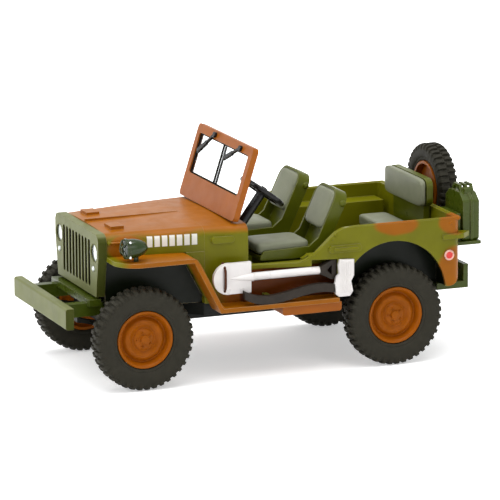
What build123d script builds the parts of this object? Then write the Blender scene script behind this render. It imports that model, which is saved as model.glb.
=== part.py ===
"""Die-cast 1:43 scale model of an open-topped army 4x4 car.

Frame: millimetres, +X forwards, +Y to the car's left, +Z up.
Origin: on the floor, in the middle of the model's length and width.
"""
import os
from math import cos, radians, sin

from build123d import *

os.makedirs("parts", exist_ok=True)

# Overall sizes
wheelbase = 47.26
front_overhang = 13.4
rear_overhang = 17.6
fender_half = 18.2
wall = 1.0
skin = 0.8

# Wheels
tyre_radius = 9.05
tyre_width = 4.3
rim_radius = 5.1
rim_fit = 0.03
spare_radius = 8.35
spare_width = 3.5
track_half = 15.5
pin_radius = 0.75
pin_fit = 0.05
hub_fit = 0.02
hub_inner = 1.5

# Body widths, as halves from the middle plane
quarter_half = 17.4
cowl_half = 14.2
hood_rear_half = 13.2
hood_front_half = 10.9
grille_half = 11.3
grille_foot_half = 10.0
recess_half = 14.6

# Body heights
sill_z = 13.5
floor_thick = 1.0
door_sill_z = 19.9
tub_top_z = 25.8
cowl_edge_z = 27.1
crown = 0.4
fender_top_z = 22.9
fender_thick = 0.8
arch_radius = 10.2

# Stations along X
length = front_overhang + wheelbase + rear_overhang
front_x = length / 2 - front_overhang
rear_x = -length / 2 + rear_overhang
grille_x = front_x + 6.4
hood_rear_x = front_x - 12.6
cowl_rear_x = front_x - 20.4
tub_rear_x = rear_x - 12.5
quarter_front_x = rear_x + 11.2
floor_top_z = sill_z + floor_thick


def save(piece, name):
    """Label a finished piece and write it to its own file."""
    piece.part.label = name
    export_step(piece.part, f"parts/{name}.step")


def across(x, z):
    """Plane square to Y with its own origin at x, z; local x is +X and local y is +Z."""
    return Plane(origin=(x, 0, z), x_dir=(1, 0, 0), z_dir=(0, -1, 0))


def section_plane(x):
    """Plane square to X; local x is +Y and local y is +Z."""
    return Plane(origin=(x, 0, 0), x_dir=(0, 1, 0), z_dir=(1, 0, 0))


def bar_corners(start, end, width):
    """Four corners of a straight flat bar of one width between two points of a sketch."""
    run = Vector(*end) - Vector(*start)
    side = Vector(-run.Y, run.X).normalized() * (width / 2)
    return [
        (start[0] + side.X, start[1] + side.Y),
        (end[0] + side.X, end[1] + side.Y),
        (end[0] - side.X, end[1] - side.Y),
        (start[0] - side.X, start[1] - side.Y),
    ]


def arched_section(x, half, foot_z, edge_z, shoulder):
    """Cross-section with upright sides, rounded shoulders and a slightly crowned top."""
    with BuildSketch(section_plane(x)) as section:
        with BuildLine():
            Polyline((half, edge_z), (half, foot_z), (-half, foot_z), (-half, edge_z))
            ThreePointArc((-half, edge_z), (0, edge_z + crown), (half, edge_z))
        make_face()
        fillet(section.vertices().group_by(Axis.Y)[-1], shoulder)
    return section.sketch


# Tub: floor, side walls, rear panel, wheelhouses, cowl and firewall
shoulder_radius = 1.6
rear_corner_radius = 1.6
sill_plate_thick = 0.7
dash_foot_z = cowl_edge_z - 3.4
sweep_foot_x = rear_x + 16.6
sweep_top_x = rear_x + 10.8
sweep_radius = 5.0
wheelhouse_inner = 12.2
wheelhouse_top_z = 23.4
wheelhouse_reach = tyre_radius + 0.6
recess_step = 4.6
recess_step_rise = 1.1
arch_x = rear_x + 0.5
arch_z = 12.4
column_y = 7.5
column_radius = 0.85
column_lean = radians(36.6)
column_top = (cowl_rear_x - 5.4, 31.35)
outer_width = quarter_half - recess_half + wall
recesses = (
    # front end, roof height
    (cowl_rear_x, door_sill_z),
    (quarter_front_x + recess_step, door_sill_z + recess_step_rise),
)
foot_curve = 2.3
handle_x = quarter_front_x - 1.4
handle_z = 22.1
handle_length = 6.2
handle_width = 1.3
handle_bar = 0.55
handle_rise = 0.25
root = 0.3
bracket_z = 22.5
bracket_height = 0.9
bracket_thick = 0.4
bracket_front_x = tub_rear_x + 3.6
bracket_tip_x = tub_rear_x - 2.2
bulge_x = cowl_rear_x + 4.6
bulge_z = 24.8
bulge_size = (4.2, 1.2)
bulge_rise = 0.35

with BuildPart() as body_tub:
    with BuildSketch(Plane.XY.offset(sill_z)) as plan:
        with BuildLine():
            Polyline(
                (tub_rear_x, 0),
                (tub_rear_x, quarter_half),
                (quarter_front_x, quarter_half),
                (cowl_rear_x, cowl_half),
                (cowl_rear_x, 0),
                close=True,
            )
        make_face()
        mirror(about=Plane.XZ)
        fillet(plan.vertices().group_by(Axis.X)[0], rear_corner_radius)
    extrude(amount=tub_top_z - sill_z)
    with BuildSketch(Plane.XY.offset(floor_top_z)):
        offset(plan.sketch, amount=-wall, kind=Kind.INTERSECTION)
        with Locations((cowl_rear_x, 0)):
            Rectangle(2 * wall + 0.1, 2 * (cowl_half - wall))
    extrude(amount=tub_top_z, mode=Mode.SUBTRACT)
    # Tool recess: the outer wall steps in to a flat panel, deeper upwards at the rear for the grip
    for side in (1, -1):
        for recess_front_x, roof_z in recesses:
            recess_length = recess_front_x - quarter_front_x
            recess_middle = (recess_front_x + quarter_front_x) / 2
            with BuildSketch(Plane.XY.offset(sill_z)):
                with Locations((recess_middle, side * (recess_half - wall / 2))):
                    Rectangle(recess_length + 2 * wall, wall)
            extrude(amount=roof_z - sill_z)
            with BuildSketch(Plane.XY.offset(roof_z - sill_plate_thick)):
                with Locations((recess_middle, side * (recess_half + (outer_width - wall) / 2))):
                    Rectangle(recess_length, outer_width + wall)
                add(plan.sketch, mode=Mode.INTERSECT)
            extrude(amount=sill_plate_thick)
        for recess_front_x, roof_z in recesses:
            with BuildSketch(Plane.XY.offset(sill_z)):
                recess_middle_x = (recess_front_x + quarter_front_x) / 2
                with Locations((recess_middle_x, side * (recess_half + outer_width / 2))):
                    Rectangle(recess_front_x - quarter_front_x, outer_width)
            extrude(amount=roof_z - sill_z - sill_plate_thick, mode=Mode.SUBTRACT)
    # The door openings sweep up to the level top of the rear quarters
    with BuildSketch(across(0, 0)) as doorway:
        with BuildLine():
            Polyline(
                (cowl_rear_x, tub_top_z + wall),
                (cowl_rear_x, door_sill_z),
                (sweep_foot_x, door_sill_z),
                (sweep_top_x, tub_top_z),
                (sweep_top_x - sweep_radius, tub_top_z),
                (sweep_top_x - sweep_radius, tub_top_z + wall),
                close=True,
            )
        make_face()
        fillet(doorway.vertices().sort_by_distance((sweep_foot_x, door_sill_z, 0))[0], sweep_radius)
        fillet(doorway.vertices().sort_by_distance((sweep_top_x, tub_top_z, 0))[0], sweep_radius - 1)
    extrude(amount=quarter_half, both=True, mode=Mode.SUBTRACT)
    # Cowl: a shell that carries on the hood's shape back to the dash
    loft([
        arched_section(cowl_rear_x, cowl_half, sill_z, cowl_edge_z, shoulder_radius),
        arched_section(hood_rear_x, hood_rear_half, sill_z, cowl_edge_z, shoulder_radius),
    ])
    loft([
        arched_section(
            cowl_rear_x - 0.1, cowl_half - wall, floor_top_z, cowl_edge_z - wall, shoulder_radius - 0.5
        ),
        arched_section(hood_rear_x - wall, hood_rear_half - wall, floor_top_z, cowl_edge_z - wall,
                       shoulder_radius - 0.5),
    ], mode=Mode.SUBTRACT)
    # Rear wheelhouses: boxes inside the tub, open below and at the arch
    for side in (1, -1):
        box_width = quarter_half - wheelhouse_inner
        with BuildSketch(Plane.XY.offset(sill_z)):
            with Locations((rear_x, side * (wheelhouse_inner + box_width / 2 - 0.1))):
                Rectangle(2 * (wheelhouse_reach + skin), box_width - 0.2)
        extrude(amount=wheelhouse_top_z - sill_z)
        with BuildSketch(Plane.XY.offset(sill_z)):
            with Locations((rear_x, side * (wheelhouse_inner + skin + (box_width - skin - wall) / 2))):
                Rectangle(2 * wheelhouse_reach, box_width - skin - wall)
        extrude(amount=wheelhouse_top_z - sill_z - skin, mode=Mode.SUBTRACT)
    with BuildSketch(Plane.XZ.offset(-quarter_half - wall)):
        with Locations((arch_x, arch_z)):
            Circle(arch_radius)
    extrude(amount=2 * wall + 0.1, mode=Mode.SUBTRACT)
    with BuildSketch(Plane.XZ.offset(quarter_half + wall)):
        with Locations((arch_x, arch_z)):
            Circle(arch_radius)
    extrude(amount=-2 * wall - 0.1, mode=Mode.SUBTRACT)
    # The rear panel curves in at its foot
    with BuildSketch(across(0, 0)):
        with Locations((tub_rear_x + foot_curve / 2, sill_z + foot_curve / 2)):
            Rectangle(foot_curve, foot_curve)
        with Locations((tub_rear_x + foot_curve, sill_z + foot_curve)):
            Circle(foot_curve, mode=Mode.SUBTRACT)
    extrude(amount=fender_half, both=True, mode=Mode.SUBTRACT)
    # Raised details on both sides: grab handle, corner bracket and cowl bulge
    for side in (1, -1):
        with BuildSketch(Plane.XZ.offset(-side * (quarter_half - root))):
            with Locations((handle_x, handle_z)):
                SlotOverall(handle_length, handle_width)
        extrude(amount=-side * (root + handle_rise))
        with BuildSketch(Plane.XZ.offset(-side * (quarter_half - root))):
            with Locations((handle_x, handle_z)):
                SlotOverall(handle_length - 1.6, handle_bar)
        extrude(amount=-side * (root + 2 * handle_rise))
        with BuildSketch(Plane.XY.offset(bracket_z - bracket_height / 2)):
            with BuildLine():
                Polyline(
                    (bracket_front_x, side * (quarter_half - root)),
                    (bracket_front_x, side * (quarter_half + bracket_thick)),
                    (tub_rear_x - bracket_thick, side * (quarter_half + bracket_thick)),
                    (bracket_tip_x, side * (quarter_half - 1.4)),
                    (tub_rear_x + root, side * (quarter_half - 2.8)),
                    (tub_rear_x + root, side * (quarter_half - root)),
                    close=True,
                )
            make_face()
        extrude(amount=bracket_height)
        with BuildSketch(Plane.XZ.offset(-side * (cowl_half - wall + 0.1))):
            with Locations((bulge_x, bulge_z)):
                SlotOverall(bulge_size[0], bulge_size[1])
        extrude(amount=-side * (wall - 0.1 + bulge_rise - (cowl_half - hood_rear_half) / 2))
save(body_tub, "body_tub")

# Hood: a thin shell that narrows to the grille, seated on the fenders
hood_skin = 0.9
lip = 0.8
grille_thick = 0.8
hood_front_x = grille_x - grille_thick - lip
hinge_strip = (0.5, 0.25)
pad_size = (2.4, 3.4, 0.5)
pad_y = 6.3

with BuildPart() as hood:
    loft([
        arched_section(hood_rear_x, hood_rear_half, fender_top_z, cowl_edge_z, shoulder_radius),
        arched_section(hood_front_x, hood_front_half, fender_top_z, cowl_edge_z - 0.4, shoulder_radius),
    ])
    loft([
        arched_section(hood_rear_x, hood_rear_half - hood_skin, fender_top_z, cowl_edge_z - hood_skin,
                       shoulder_radius - 0.5),
        arched_section(
            hood_front_x,
            hood_front_half - hood_skin,
            fender_top_z,
            cowl_edge_z - 0.4 - hood_skin,
            shoulder_radius - 0.5,
        ),
    ], mode=Mode.SUBTRACT)
    hood_length = hood_front_x - hood_rear_x
    with Locations(((hood_front_x + hood_rear_x) / 2, 0, cowl_edge_z)):
        Box(hood_length, hinge_strip[0], 2 * hinge_strip[1] + crown)
    with Locations(*[(hood_front_x - 3.2, side * pad_y, cowl_edge_z) for side in (1, -1)]):
        Box(pad_size[0], pad_size[1], pad_size[2] + crown)
save(hood, "hood")

# Grille: a slotted plate with two lamp holes and a lip turned back over the hood
grille_foot_z = 15.7
grille_top_z = 26.9
slot_count = 9
slot_pitch = 1.64
slot_width = 1.05
slot_foot_z = 17.0
slot_top_z = 25.4
lamp_y = 9.1
lamp_z = 23.4
lamp_radius = 1.7
marker_y = 8.9
marker_z = 20.6
marker_radius = 0.55
lamp_fit = 0.05
lens_recess = 0.25


def grille_outline(inset):
    """Front view of the grille, narrower at its foot, with rounded upper corners."""
    with BuildSketch(section_plane(grille_x)) as outline:
        with BuildLine():
            Polyline(
                (grille_foot_half - inset, grille_foot_z),
                (grille_half - inset, fender_top_z),
                (grille_half - inset, grille_top_z - inset),
                (inset - grille_half, grille_top_z - inset),
                (inset - grille_half, fender_top_z),
                (inset - grille_foot_half, grille_foot_z),
                close=True,
            )
        make_face()
        fillet(outline.vertices().group_by(Axis.Y)[-1], shoulder_radius - inset / 2)
    return outline.sketch


with BuildPart() as grille:
    extrude(grille_outline(0), amount=-grille_thick - lip)
    extrude(grille_outline(grille_thick), amount=-2 * grille_thick - lip, mode=Mode.SUBTRACT)
    extrude(grille_outline(0), amount=-grille_thick)
    with BuildSketch(section_plane(grille_x)):
        with Locations((0, (slot_foot_z + slot_top_z) / 2)):
            with GridLocations(slot_pitch, 1, slot_count, 1):
                SlotOverall(slot_top_z - slot_foot_z, slot_width, rotation=90)
        with Locations(*[(side * lamp_y, lamp_z) for side in (1, -1)]):
            Circle(lamp_radius)
        with Locations(*[(side * marker_y, marker_z) for side in (1, -1)]):
            Circle(marker_radius)
    extrude(amount=-2 * grille_thick, mode=Mode.SUBTRACT)
save(grille, "grille")

with BuildPart() as radiator:
    with BuildSketch(section_plane(grille_x - grille_thick)):
        with Locations((0, (slot_foot_z + slot_top_z) / 2)):
            Rectangle(slot_count * slot_pitch - slot_width, slot_top_z - slot_foot_z + 1)
    extrude(amount=-0.8)
save(radiator, "radiator")

with BuildPart() as headlight_lenses:
    for side in (1, -1):
        with BuildSketch(section_plane(grille_x - grille_thick)):
            with Locations((side * lamp_y, lamp_z)):
                Circle(lamp_radius - lamp_fit)
        extrude(amount=grille_thick - lens_recess)
    fillet(headlight_lenses.edges().group_by(Axis.X)[-1], 0.2)
save(headlight_lenses, "headlight_lenses")

with BuildPart() as marker_lamps:
    for side in (1, -1):
        with BuildSketch(section_plane(grille_x - grille_thick)):
            with Locations((side * marker_y, marker_z)):
                Circle(marker_radius - lamp_fit)
        extrude(amount=grille_thick + 0.25)
    fillet(marker_lamps.edges().group_by(Axis.X)[-1], 0.25)
save(marker_lamps, "marker_lamps")

# Fenders: a flat shelf, a slanted skirt behind the wheel and an inner wall
knee_x = front_x - 9.3
skirt_foot_x = front_x - 14.2
fender_front_x = grille_x - grille_thick - lip
corner_radius = 4.2
inner_wall_half = 10.0
inner_foot_z = sill_z
ledge_rear_x = quarter_front_x
skirt_slope = (fender_top_z - sill_z) / (knee_x - skirt_foot_x)
web_foot_z = sill_z + (hood_rear_x - skirt_foot_x) * skirt_slope - 0.3
web_taper = (hood_rear_half - hood_front_half) * (knee_x - hood_rear_x) / hood_length

for name, side in (("left_fender", 1), ("right_fender", -1)):
    with BuildPart() as fender:
        # Side view of the shelf, skirt and bottom ledge as one band of even thickness
        with BuildSketch(across(0, 0)) as band:
            with BuildLine():
                Polyline(
                    (fender_front_x, fender_top_z),
                    (knee_x, fender_top_z),
                    (skirt_foot_x, sill_z),
                    (ledge_rear_x, sill_z),
                    (ledge_rear_x, sill_z - fender_thick),
                    (skirt_foot_x + 0.5, sill_z - fender_thick),
                    (knee_x + 0.5, fender_top_z - fender_thick),
                    (fender_front_x, fender_top_z - fender_thick),
                    close=True,
                )
            make_face()
            fillet(band.vertices().sort_by_distance((knee_x, fender_top_z, 0))[:1], 1.2)
        extrude(amount=-side * fender_half)
        # Plan view trims the band to the hood side and rounds the front corner
        with BuildSketch(Plane.XY) as trim:
            with BuildLine():
                Polyline(
                    (fender_front_x, side * inner_wall_half),
                    (fender_front_x, side * fender_half),
                    (ledge_rear_x, side * fender_half),
                    (ledge_rear_x, side * (recess_half - wall)),
                    (hood_rear_x, side * (recess_half - wall)),
                    (hood_rear_x, side * inner_wall_half),
                    close=True,
                )
            make_face()
            corner = trim.vertices().sort_by_distance((fender_front_x, side * fender_half, 0))[0]
            fillet(corner, corner_radius)
        extrude(amount=2 * fender_top_z, mode=Mode.INTERSECT)
        # The band's inner edge stays clear of the cowl's tapering side
        with BuildSketch(Plane.XY):
            with BuildLine():
                Polyline(
                    (hood_rear_x, 0),
                    (hood_rear_x, side * hood_rear_half),
                    (cowl_rear_x, side * cowl_half),
                    (cowl_rear_x, side * recess_half),
                    (ledge_rear_x, side * recess_half),
                    (ledge_rear_x, 0),
                    close=True,
                )
            make_face()
        extrude(amount=cowl_edge_z, mode=Mode.SUBTRACT)
        # Inner wall between the wheel and the engine bay
        with BuildSketch(Plane.XY.offset(inner_foot_z)):
            with BuildLine():
                Polyline(
                    (fender_front_x, side * (inner_wall_half - skin)),
                    (fender_front_x, side * inner_wall_half),
                    (hood_rear_x, side * (inner_wall_half + 1.8)),
                    (hood_rear_x, side * (inner_wall_half + 1.8 - skin)),
                    close=True,
                )
            make_face()
        extrude(amount=fender_top_z - fender_thick - inner_foot_z)
        # Web behind the skirt, in line with the hood's side
        with BuildPart(mode=Mode.PRIVATE) as web:
            with BuildSketch(Plane.XY):
                with BuildLine():
                    Polyline(
                        (hood_rear_x, side * (hood_rear_half - skin)),
                        (hood_rear_x, side * hood_rear_half),
                        (knee_x, side * (hood_rear_half - web_taper)),
                        (knee_x, side * (hood_rear_half - web_taper - skin)),
                        close=True,
                    )
                make_face()
            extrude(amount=fender_top_z)
            with BuildSketch(across(0, 0)):
                with BuildLine():
                    Polyline(
                        (hood_rear_x, fender_top_z),
                        (knee_x, fender_top_z),
                        (hood_rear_x, web_foot_z),
                        close=True,
                    )
                make_face()
            extrude(amount=fender_half, both=True, mode=Mode.INTERSECT)
        add(web.part)
    save(fender, name)

# Front bumper: a channel open to the rear, carried by two frame horns
bumper_half = 13.9
bumper_foot_z = 11.3
bumper_top_z = 15.0
bumper_thick = 0.8
bumper_depth = 1.5
bumper_end = 0.8
bumper_x = length / 2
horn_y = 8.2
horn_width = 1.6

with BuildPart() as front_bumper:
    with BuildSketch(Plane.XZ.offset(-bumper_half)) as channel:
        with BuildLine():
            Polyline(
                (bumper_x, bumper_foot_z),
                (bumper_x, bumper_top_z),
                (bumper_x - bumper_depth, bumper_top_z),
                (bumper_x - bumper_depth, bumper_top_z - bumper_thick),
                (bumper_x - bumper_thick, bumper_top_z - bumper_thick),
                (bumper_x - bumper_thick, bumper_foot_z + bumper_thick),
                (bumper_x - bumper_depth, bumper_foot_z + bumper_thick),
                (bumper_x - bumper_depth, bumper_foot_z),
                close=True,
            )
        make_face()
        fillet(channel.vertices().group_by(Axis.X)[-1], 0.4)
    extrude(amount=2 * bumper_half)
    bumper_end_y = bumper_half - bumper_end / 2
    with Locations(*[(bumper_x - 0.4, side * bumper_end_y, bumper_foot_z) for side in (1, -1)]):
        Box(
            bumper_depth - 0.4,
            bumper_end,
            bumper_top_z - bumper_foot_z,
            align=(Align.MAX, Align.CENTER, Align.MIN),
        )
save(front_bumper, "front_bumper")

horn_z = 13.4
horn_height = 2.4
horn_rear_x = grille_x - 2.2
horn_front_x = bumper_x - bumper_depth
cross_bar = (2.2, 1.2)
cross_bar_z = 14.7
with BuildPart() as frame_horns:
    with Locations(*[((horn_rear_x + horn_front_x) / 2, side * horn_y, horn_z) for side in (1, -1)]):
        Box(horn_front_x - horn_rear_x, horn_width, horn_height)
    with Locations((grille_x + 0.2, 0, cross_bar_z)):
        Box(cross_bar[0], 2 * grille_foot_half, cross_bar[1])
save(frame_horns, "frame_horns")

# Chassis: underplate, frame rails, axle housings with pin bores, screw bosses
chassis_top_z = sill_z
chassis_foot_z = 11.3
chassis_half = 12.6
chassis_wheel_half = 10.0
axle_housing_radius = 1.7
axle_end = 13.6
diff_radius = 3.0
diff_y = 3.0
gearbox_foot_z = 9.2
screw_radius = 0.8
screw_depth = 3.0
screw_boss_radius = 2.0
screw_x = (front_x - 10.5, rear_x + 13.5)
spring_y = horn_y
spring_width = 1.6
spring_half = 9.6
spring_thick = 0.9
spring_end_z = horn_z - horn_height / 2
spring_middle_z = 10.4

with BuildPart() as chassis:
    with BuildSketch(Plane.XY.offset(chassis_foot_z)):
        with BuildLine():
            Polyline(
                (tub_rear_x, 0),
                (tub_rear_x, chassis_wheel_half),
                (rear_x + wheelhouse_reach, chassis_wheel_half),
                (rear_x + wheelhouse_reach + 2, chassis_half),
                (front_x - wheelhouse_reach - 3, chassis_half),
                (front_x - wheelhouse_reach, chassis_wheel_half),
                (grille_x - 2.2, chassis_wheel_half),
                (grille_x - 2.2, 0),
                close=True,
            )
        make_face()
        mirror(about=Plane.XZ)
    extrude(amount=chassis_top_z - chassis_foot_z)
    # Gearbox and skid plate between the axles
    with BuildSketch(across(0, 0)):
        with BuildLine():
            Polyline(
                (front_x - 5.5, chassis_foot_z + 0.2),
                (front_x - 7.5, gearbox_foot_z),
                (rear_x + 8.5, gearbox_foot_z),
                (rear_x + 6.5, chassis_foot_z + 0.2),
                close=True,
            )
        make_face()
    extrude(amount=6.0, both=True)
    for axle_x in (front_x, rear_x):
        with BuildSketch(Plane.XY.offset(tyre_radius)):
            with BuildLine():
                Polyline(
                    (axle_x, -axle_end),
                    (axle_x + 2.4, -axle_end),
                    (axle_x + 2.4, -axle_end + 0.9),
                    (axle_x + axle_housing_radius, -axle_end + 0.9),
                    (axle_x + axle_housing_radius, axle_end - 0.9),
                    (axle_x + 2.4, axle_end - 0.9),
                    (axle_x + 2.4, axle_end),
                    (axle_x, axle_end),
                    close=True,
                )
            make_face()
        revolve(axis=Axis((axle_x, 0, tyre_radius), (0, 1, 0)))
        with Locations((axle_x, diff_y, tyre_radius)):
            Sphere(diff_radius)
        # Spring seats tie each housing to the frame
        spring_z = (tyre_radius + chassis_foot_z) / 2 + 0.4
        with Locations(*[(axle_x, side * 7.0, spring_z) for side in (1, -1)]):
            Box(3.0, 2.2, chassis_foot_z - tyre_radius + 1.0)
    # Leaf springs bow down from the frame to each housing
    for axle_x in (front_x, rear_x):
        for side in (1, -1):
            with BuildSketch(Plane.XZ.offset(-side * spring_y - spring_width / 2)):
                with BuildLine():
                    spring_top = ThreePointArc(
                        (axle_x - spring_half, spring_end_z),
                        (axle_x, spring_middle_z),
                        (axle_x + spring_half, spring_end_z),
                    )
                    Polyline(
                        spring_top @ 1,
                        (axle_x + spring_half, spring_end_z - spring_thick),
                        (axle_x, spring_middle_z - 1.5 * spring_thick),
                        (axle_x - spring_half, spring_end_z - spring_thick),
                        spring_top @ 0,
                    )
                make_face()
            extrude(amount=spring_width)
    with BuildSketch(Plane.XZ):
        with Locations((front_x, tyre_radius), (rear_x, tyre_radius)):
            Circle(pin_radius + pin_fit)
    extrude(amount=fender_half, both=True, mode=Mode.SUBTRACT)
    with Locations(*[(x, 0, gearbox_foot_z) for x in screw_x]):
        Cylinder(screw_boss_radius, 0.6, align=(Align.CENTER, Align.CENTER, Align.MAX))
    with Locations(*[(x, 0, gearbox_foot_z - 0.6) for x in screw_x]):
        Cylinder(
            screw_radius,
            screw_depth,
            align=(Align.CENTER, Align.CENTER, Align.MIN),
            mode=Mode.SUBTRACT,
        )
save(chassis, "chassis")

# Engine block: one plain casting between the chassis and the hood
engine_top_z = 23.0
engine_width = 10.0
engine_clearance = 6.0
with BuildPart() as engine_block:
    with Locations(((hood_rear_x + hood_front_x) / 2 + 1.0, 0, (chassis_top_z + engine_top_z) / 2)):
        Box(hood_length - engine_clearance, engine_width, engine_top_z - chassis_top_z)
save(engine_block, "engine_block")

# Step box under each sill
step_length = 11.2
step_front_x = cowl_rear_x - 5.0
step_foot_z = 11.1
step_inset = 0.4
with BuildPart() as side_steps:
    for side in (1, -1):
        with BuildSketch(Plane.XZ.offset(-side * chassis_half)) as step:
            with BuildLine():
                Polyline(
                    (step_front_x, sill_z - fender_thick),
                    (step_front_x, step_foot_z),
                    (step_front_x - step_length, step_foot_z),
                    (step_front_x - step_length, sill_z - fender_thick),
                    close=True,
                )
            make_face()
            fillet(step.vertices().group_by(Axis.Y)[0], 0.5)
        extrude(amount=-side * (fender_half - step_inset - chassis_half))
save(side_steps, "side_steps")

# Windscreen: a leaning frame with one pane, a solid lower panel, a centre strip and two wipers
screen_lean = radians(17.8)
screen_height = 13.4
screen_half = 13.2
screen_thick = 1.1
screen_foot_x = cowl_rear_x + 2.0
screen_foot_z = cowl_edge_z + crown
screen_top_bar = 1.6
screen_post = 1.5
screen_panel = 4.4
strip_width = 0.42
strip_thick = 0.25
pane_thick = 0.4
pane_corner = 0.5
screen_plane = Plane(
    origin=(screen_foot_x, 0, screen_foot_z),
    x_dir=(0, 1, 0),
    z_dir=(cos(screen_lean), 0, sin(screen_lean)),
)
pane_width = 2 * (screen_half - screen_post)
pane_height = screen_height - screen_panel - screen_top_bar
pane_centre = (0, screen_panel + pane_height / 2)

with BuildPart() as windscreen_frame:
    with BuildSketch(screen_plane) as screen:
        with Locations((0, screen_height / 2)):
            Rectangle(2 * screen_half, screen_height)
        fillet(screen.vertices(), 0.9)
        with Locations(pane_centre):
            RectangleRounded(pane_width, pane_height, pane_corner, mode=Mode.SUBTRACT)
    extrude(amount=screen_thick / 2, both=True)
    # The foot is trimmed level so that it seats on the cowl
    with Locations((screen_foot_x, 0, screen_foot_z)):
        Box(6, 2 * fender_half, 2, align=(Align.CENTER, Align.CENTER, Align.MAX), mode=Mode.SUBTRACT)
save(windscreen_frame, "windscreen_frame")

with BuildPart() as windscreen_pane:
    with BuildSketch(screen_plane):
        with Locations(pane_centre):
            RectangleRounded(pane_width, pane_height, pane_corner)
    extrude(amount=pane_thick / 2, both=True)
save(windscreen_pane, "windscreen_pane")

with BuildPart() as windscreen_strip:
    for face in (1, -1):
        with BuildSketch(screen_plane.offset(face * pane_thick / 2)):
            with Locations(pane_centre):
                Rectangle(strip_width, pane_height)
        extrude(amount=face * strip_thick)
save(windscreen_strip, "windscreen_strip")

# Each wiper: a hub on the top bar, an arm and a wider blade that ends over the pane
wiper_hub_radius = 0.5
wiper_thick = 0.5
arm_width = 0.4
blade_width = 0.75
blade_share = 0.55
wiper_runs = (
    # hub and tip, as y and height up the screen
    ((8.0, 12.4), (2.3, 9.45)),
    ((-4.4, 12.6), (-9.65, 8.6)),
)
with BuildPart() as wipers:
    for hub, tip in wiper_runs:
        arm_share = 1 - blade_share
        middle = (hub[0] + (tip[0] - hub[0]) * arm_share, hub[1] + (tip[1] - hub[1]) * arm_share)
        with BuildSketch(screen_plane.offset(screen_thick / 2)):
            with BuildLine():
                Polyline(*bar_corners(hub, tip, arm_width), close=True)
            make_face()
            with BuildLine():
                Polyline(*bar_corners(middle, tip, blade_width), close=True)
            make_face()
            with Locations(hub):
                Circle(wiper_hub_radius)
        extrude(amount=wiper_thick)
save(wipers, "wipers")

# Dash panel under the cowl, with a slot for the steering column
dash_x = cowl_rear_x + 0.3
with BuildPart() as dash:
    with BuildSketch(section_plane(dash_x)) as dash_face:
        with Locations((0, (dash_foot_z + cowl_edge_z - wall) / 2)):
            Rectangle(2 * (cowl_half - wall - 0.4), cowl_edge_z - wall - dash_foot_z)
        fillet(dash_face.vertices().group_by(Axis.Y)[-1], shoulder_radius)
    extrude(amount=0.8)
    with Locations((dash_x + 0.4, column_y, dash_foot_z)):
        Box(2, 2 * column_radius + 1.2, 3.6, mode=Mode.SUBTRACT)
save(dash, "dash")

# Steering column and wheel share one leaning axis
wheel_ring_radius = 4.0
wheel_wire = 0.48
column_length = 15.5
column_dir = Vector(-sin(column_lean), 0, cos(column_lean))
wheel_centre = Vector(column_top[0], column_y, column_top[1])
column_plane = Plane(origin=wheel_centre, x_dir=(0, 1, 0), z_dir=column_dir)

with BuildPart() as steering_column:
    with BuildSketch(column_plane.offset(-0.35)):
        Circle(column_radius)
    extrude(amount=-column_length)
    with Locations((0, 0, floor_top_z)):
        Box(4 * length, 4 * fender_half, 20, align=(Align.CENTER, Align.CENTER, Align.MAX),
            mode=Mode.SUBTRACT)
save(steering_column, "steering_column")

with BuildPart() as steering_wheel:
    with Locations(column_plane):
        Torus(wheel_ring_radius, wheel_wire)
    with BuildSketch(column_plane):
        with PolarLocations(0, 3, start_angle=90):
            with Locations((wheel_ring_radius / 2, 0)):
                Rectangle(wheel_ring_radius, 0.6)
    extrude(amount=0.22, both=True)
    with BuildSketch(column_plane.offset(-0.35)):
        Circle(0.95)
    extrude(amount=0.95)
    with BuildSketch(column_plane.offset(0.6)):
        Circle(0.6)
    extrude(amount=0.25)
save(steering_wheel, "steering_wheel")

# Front seats: a bent shell on a box base, with a cushion and a back pad
seat_y = 8.5
seat_half = 4.5
seat_front_x = cowl_rear_x - 2.8
seat_bend_x = seat_front_x - 11.6
seat_pan_z = 20.9
seat_lean = radians(25)
seat_back_height = 11.2
shell_thick = 0.7
shell_corner = 2.4
cheek_thick = 0.45
tray_depth = 1.6
cushion_thick = 2.3
pad_thick = 2.0
pad_inset = 0.5
pad_foot = cushion_thick + 1.3
pad_top = seat_back_height - pad_inset
back_dir = (-sin(seat_lean), cos(seat_lean))
back_front = (cos(seat_lean), sin(seat_lean))


def along_back(start, rise, forward):
    """Point beside the leaning back: rise runs up the back and forward is square to it."""
    return (
        start[0] + rise * back_dir[0] + forward * back_front[0],
        start[1] + rise * back_dir[1] + forward * back_front[1],
    )


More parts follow.
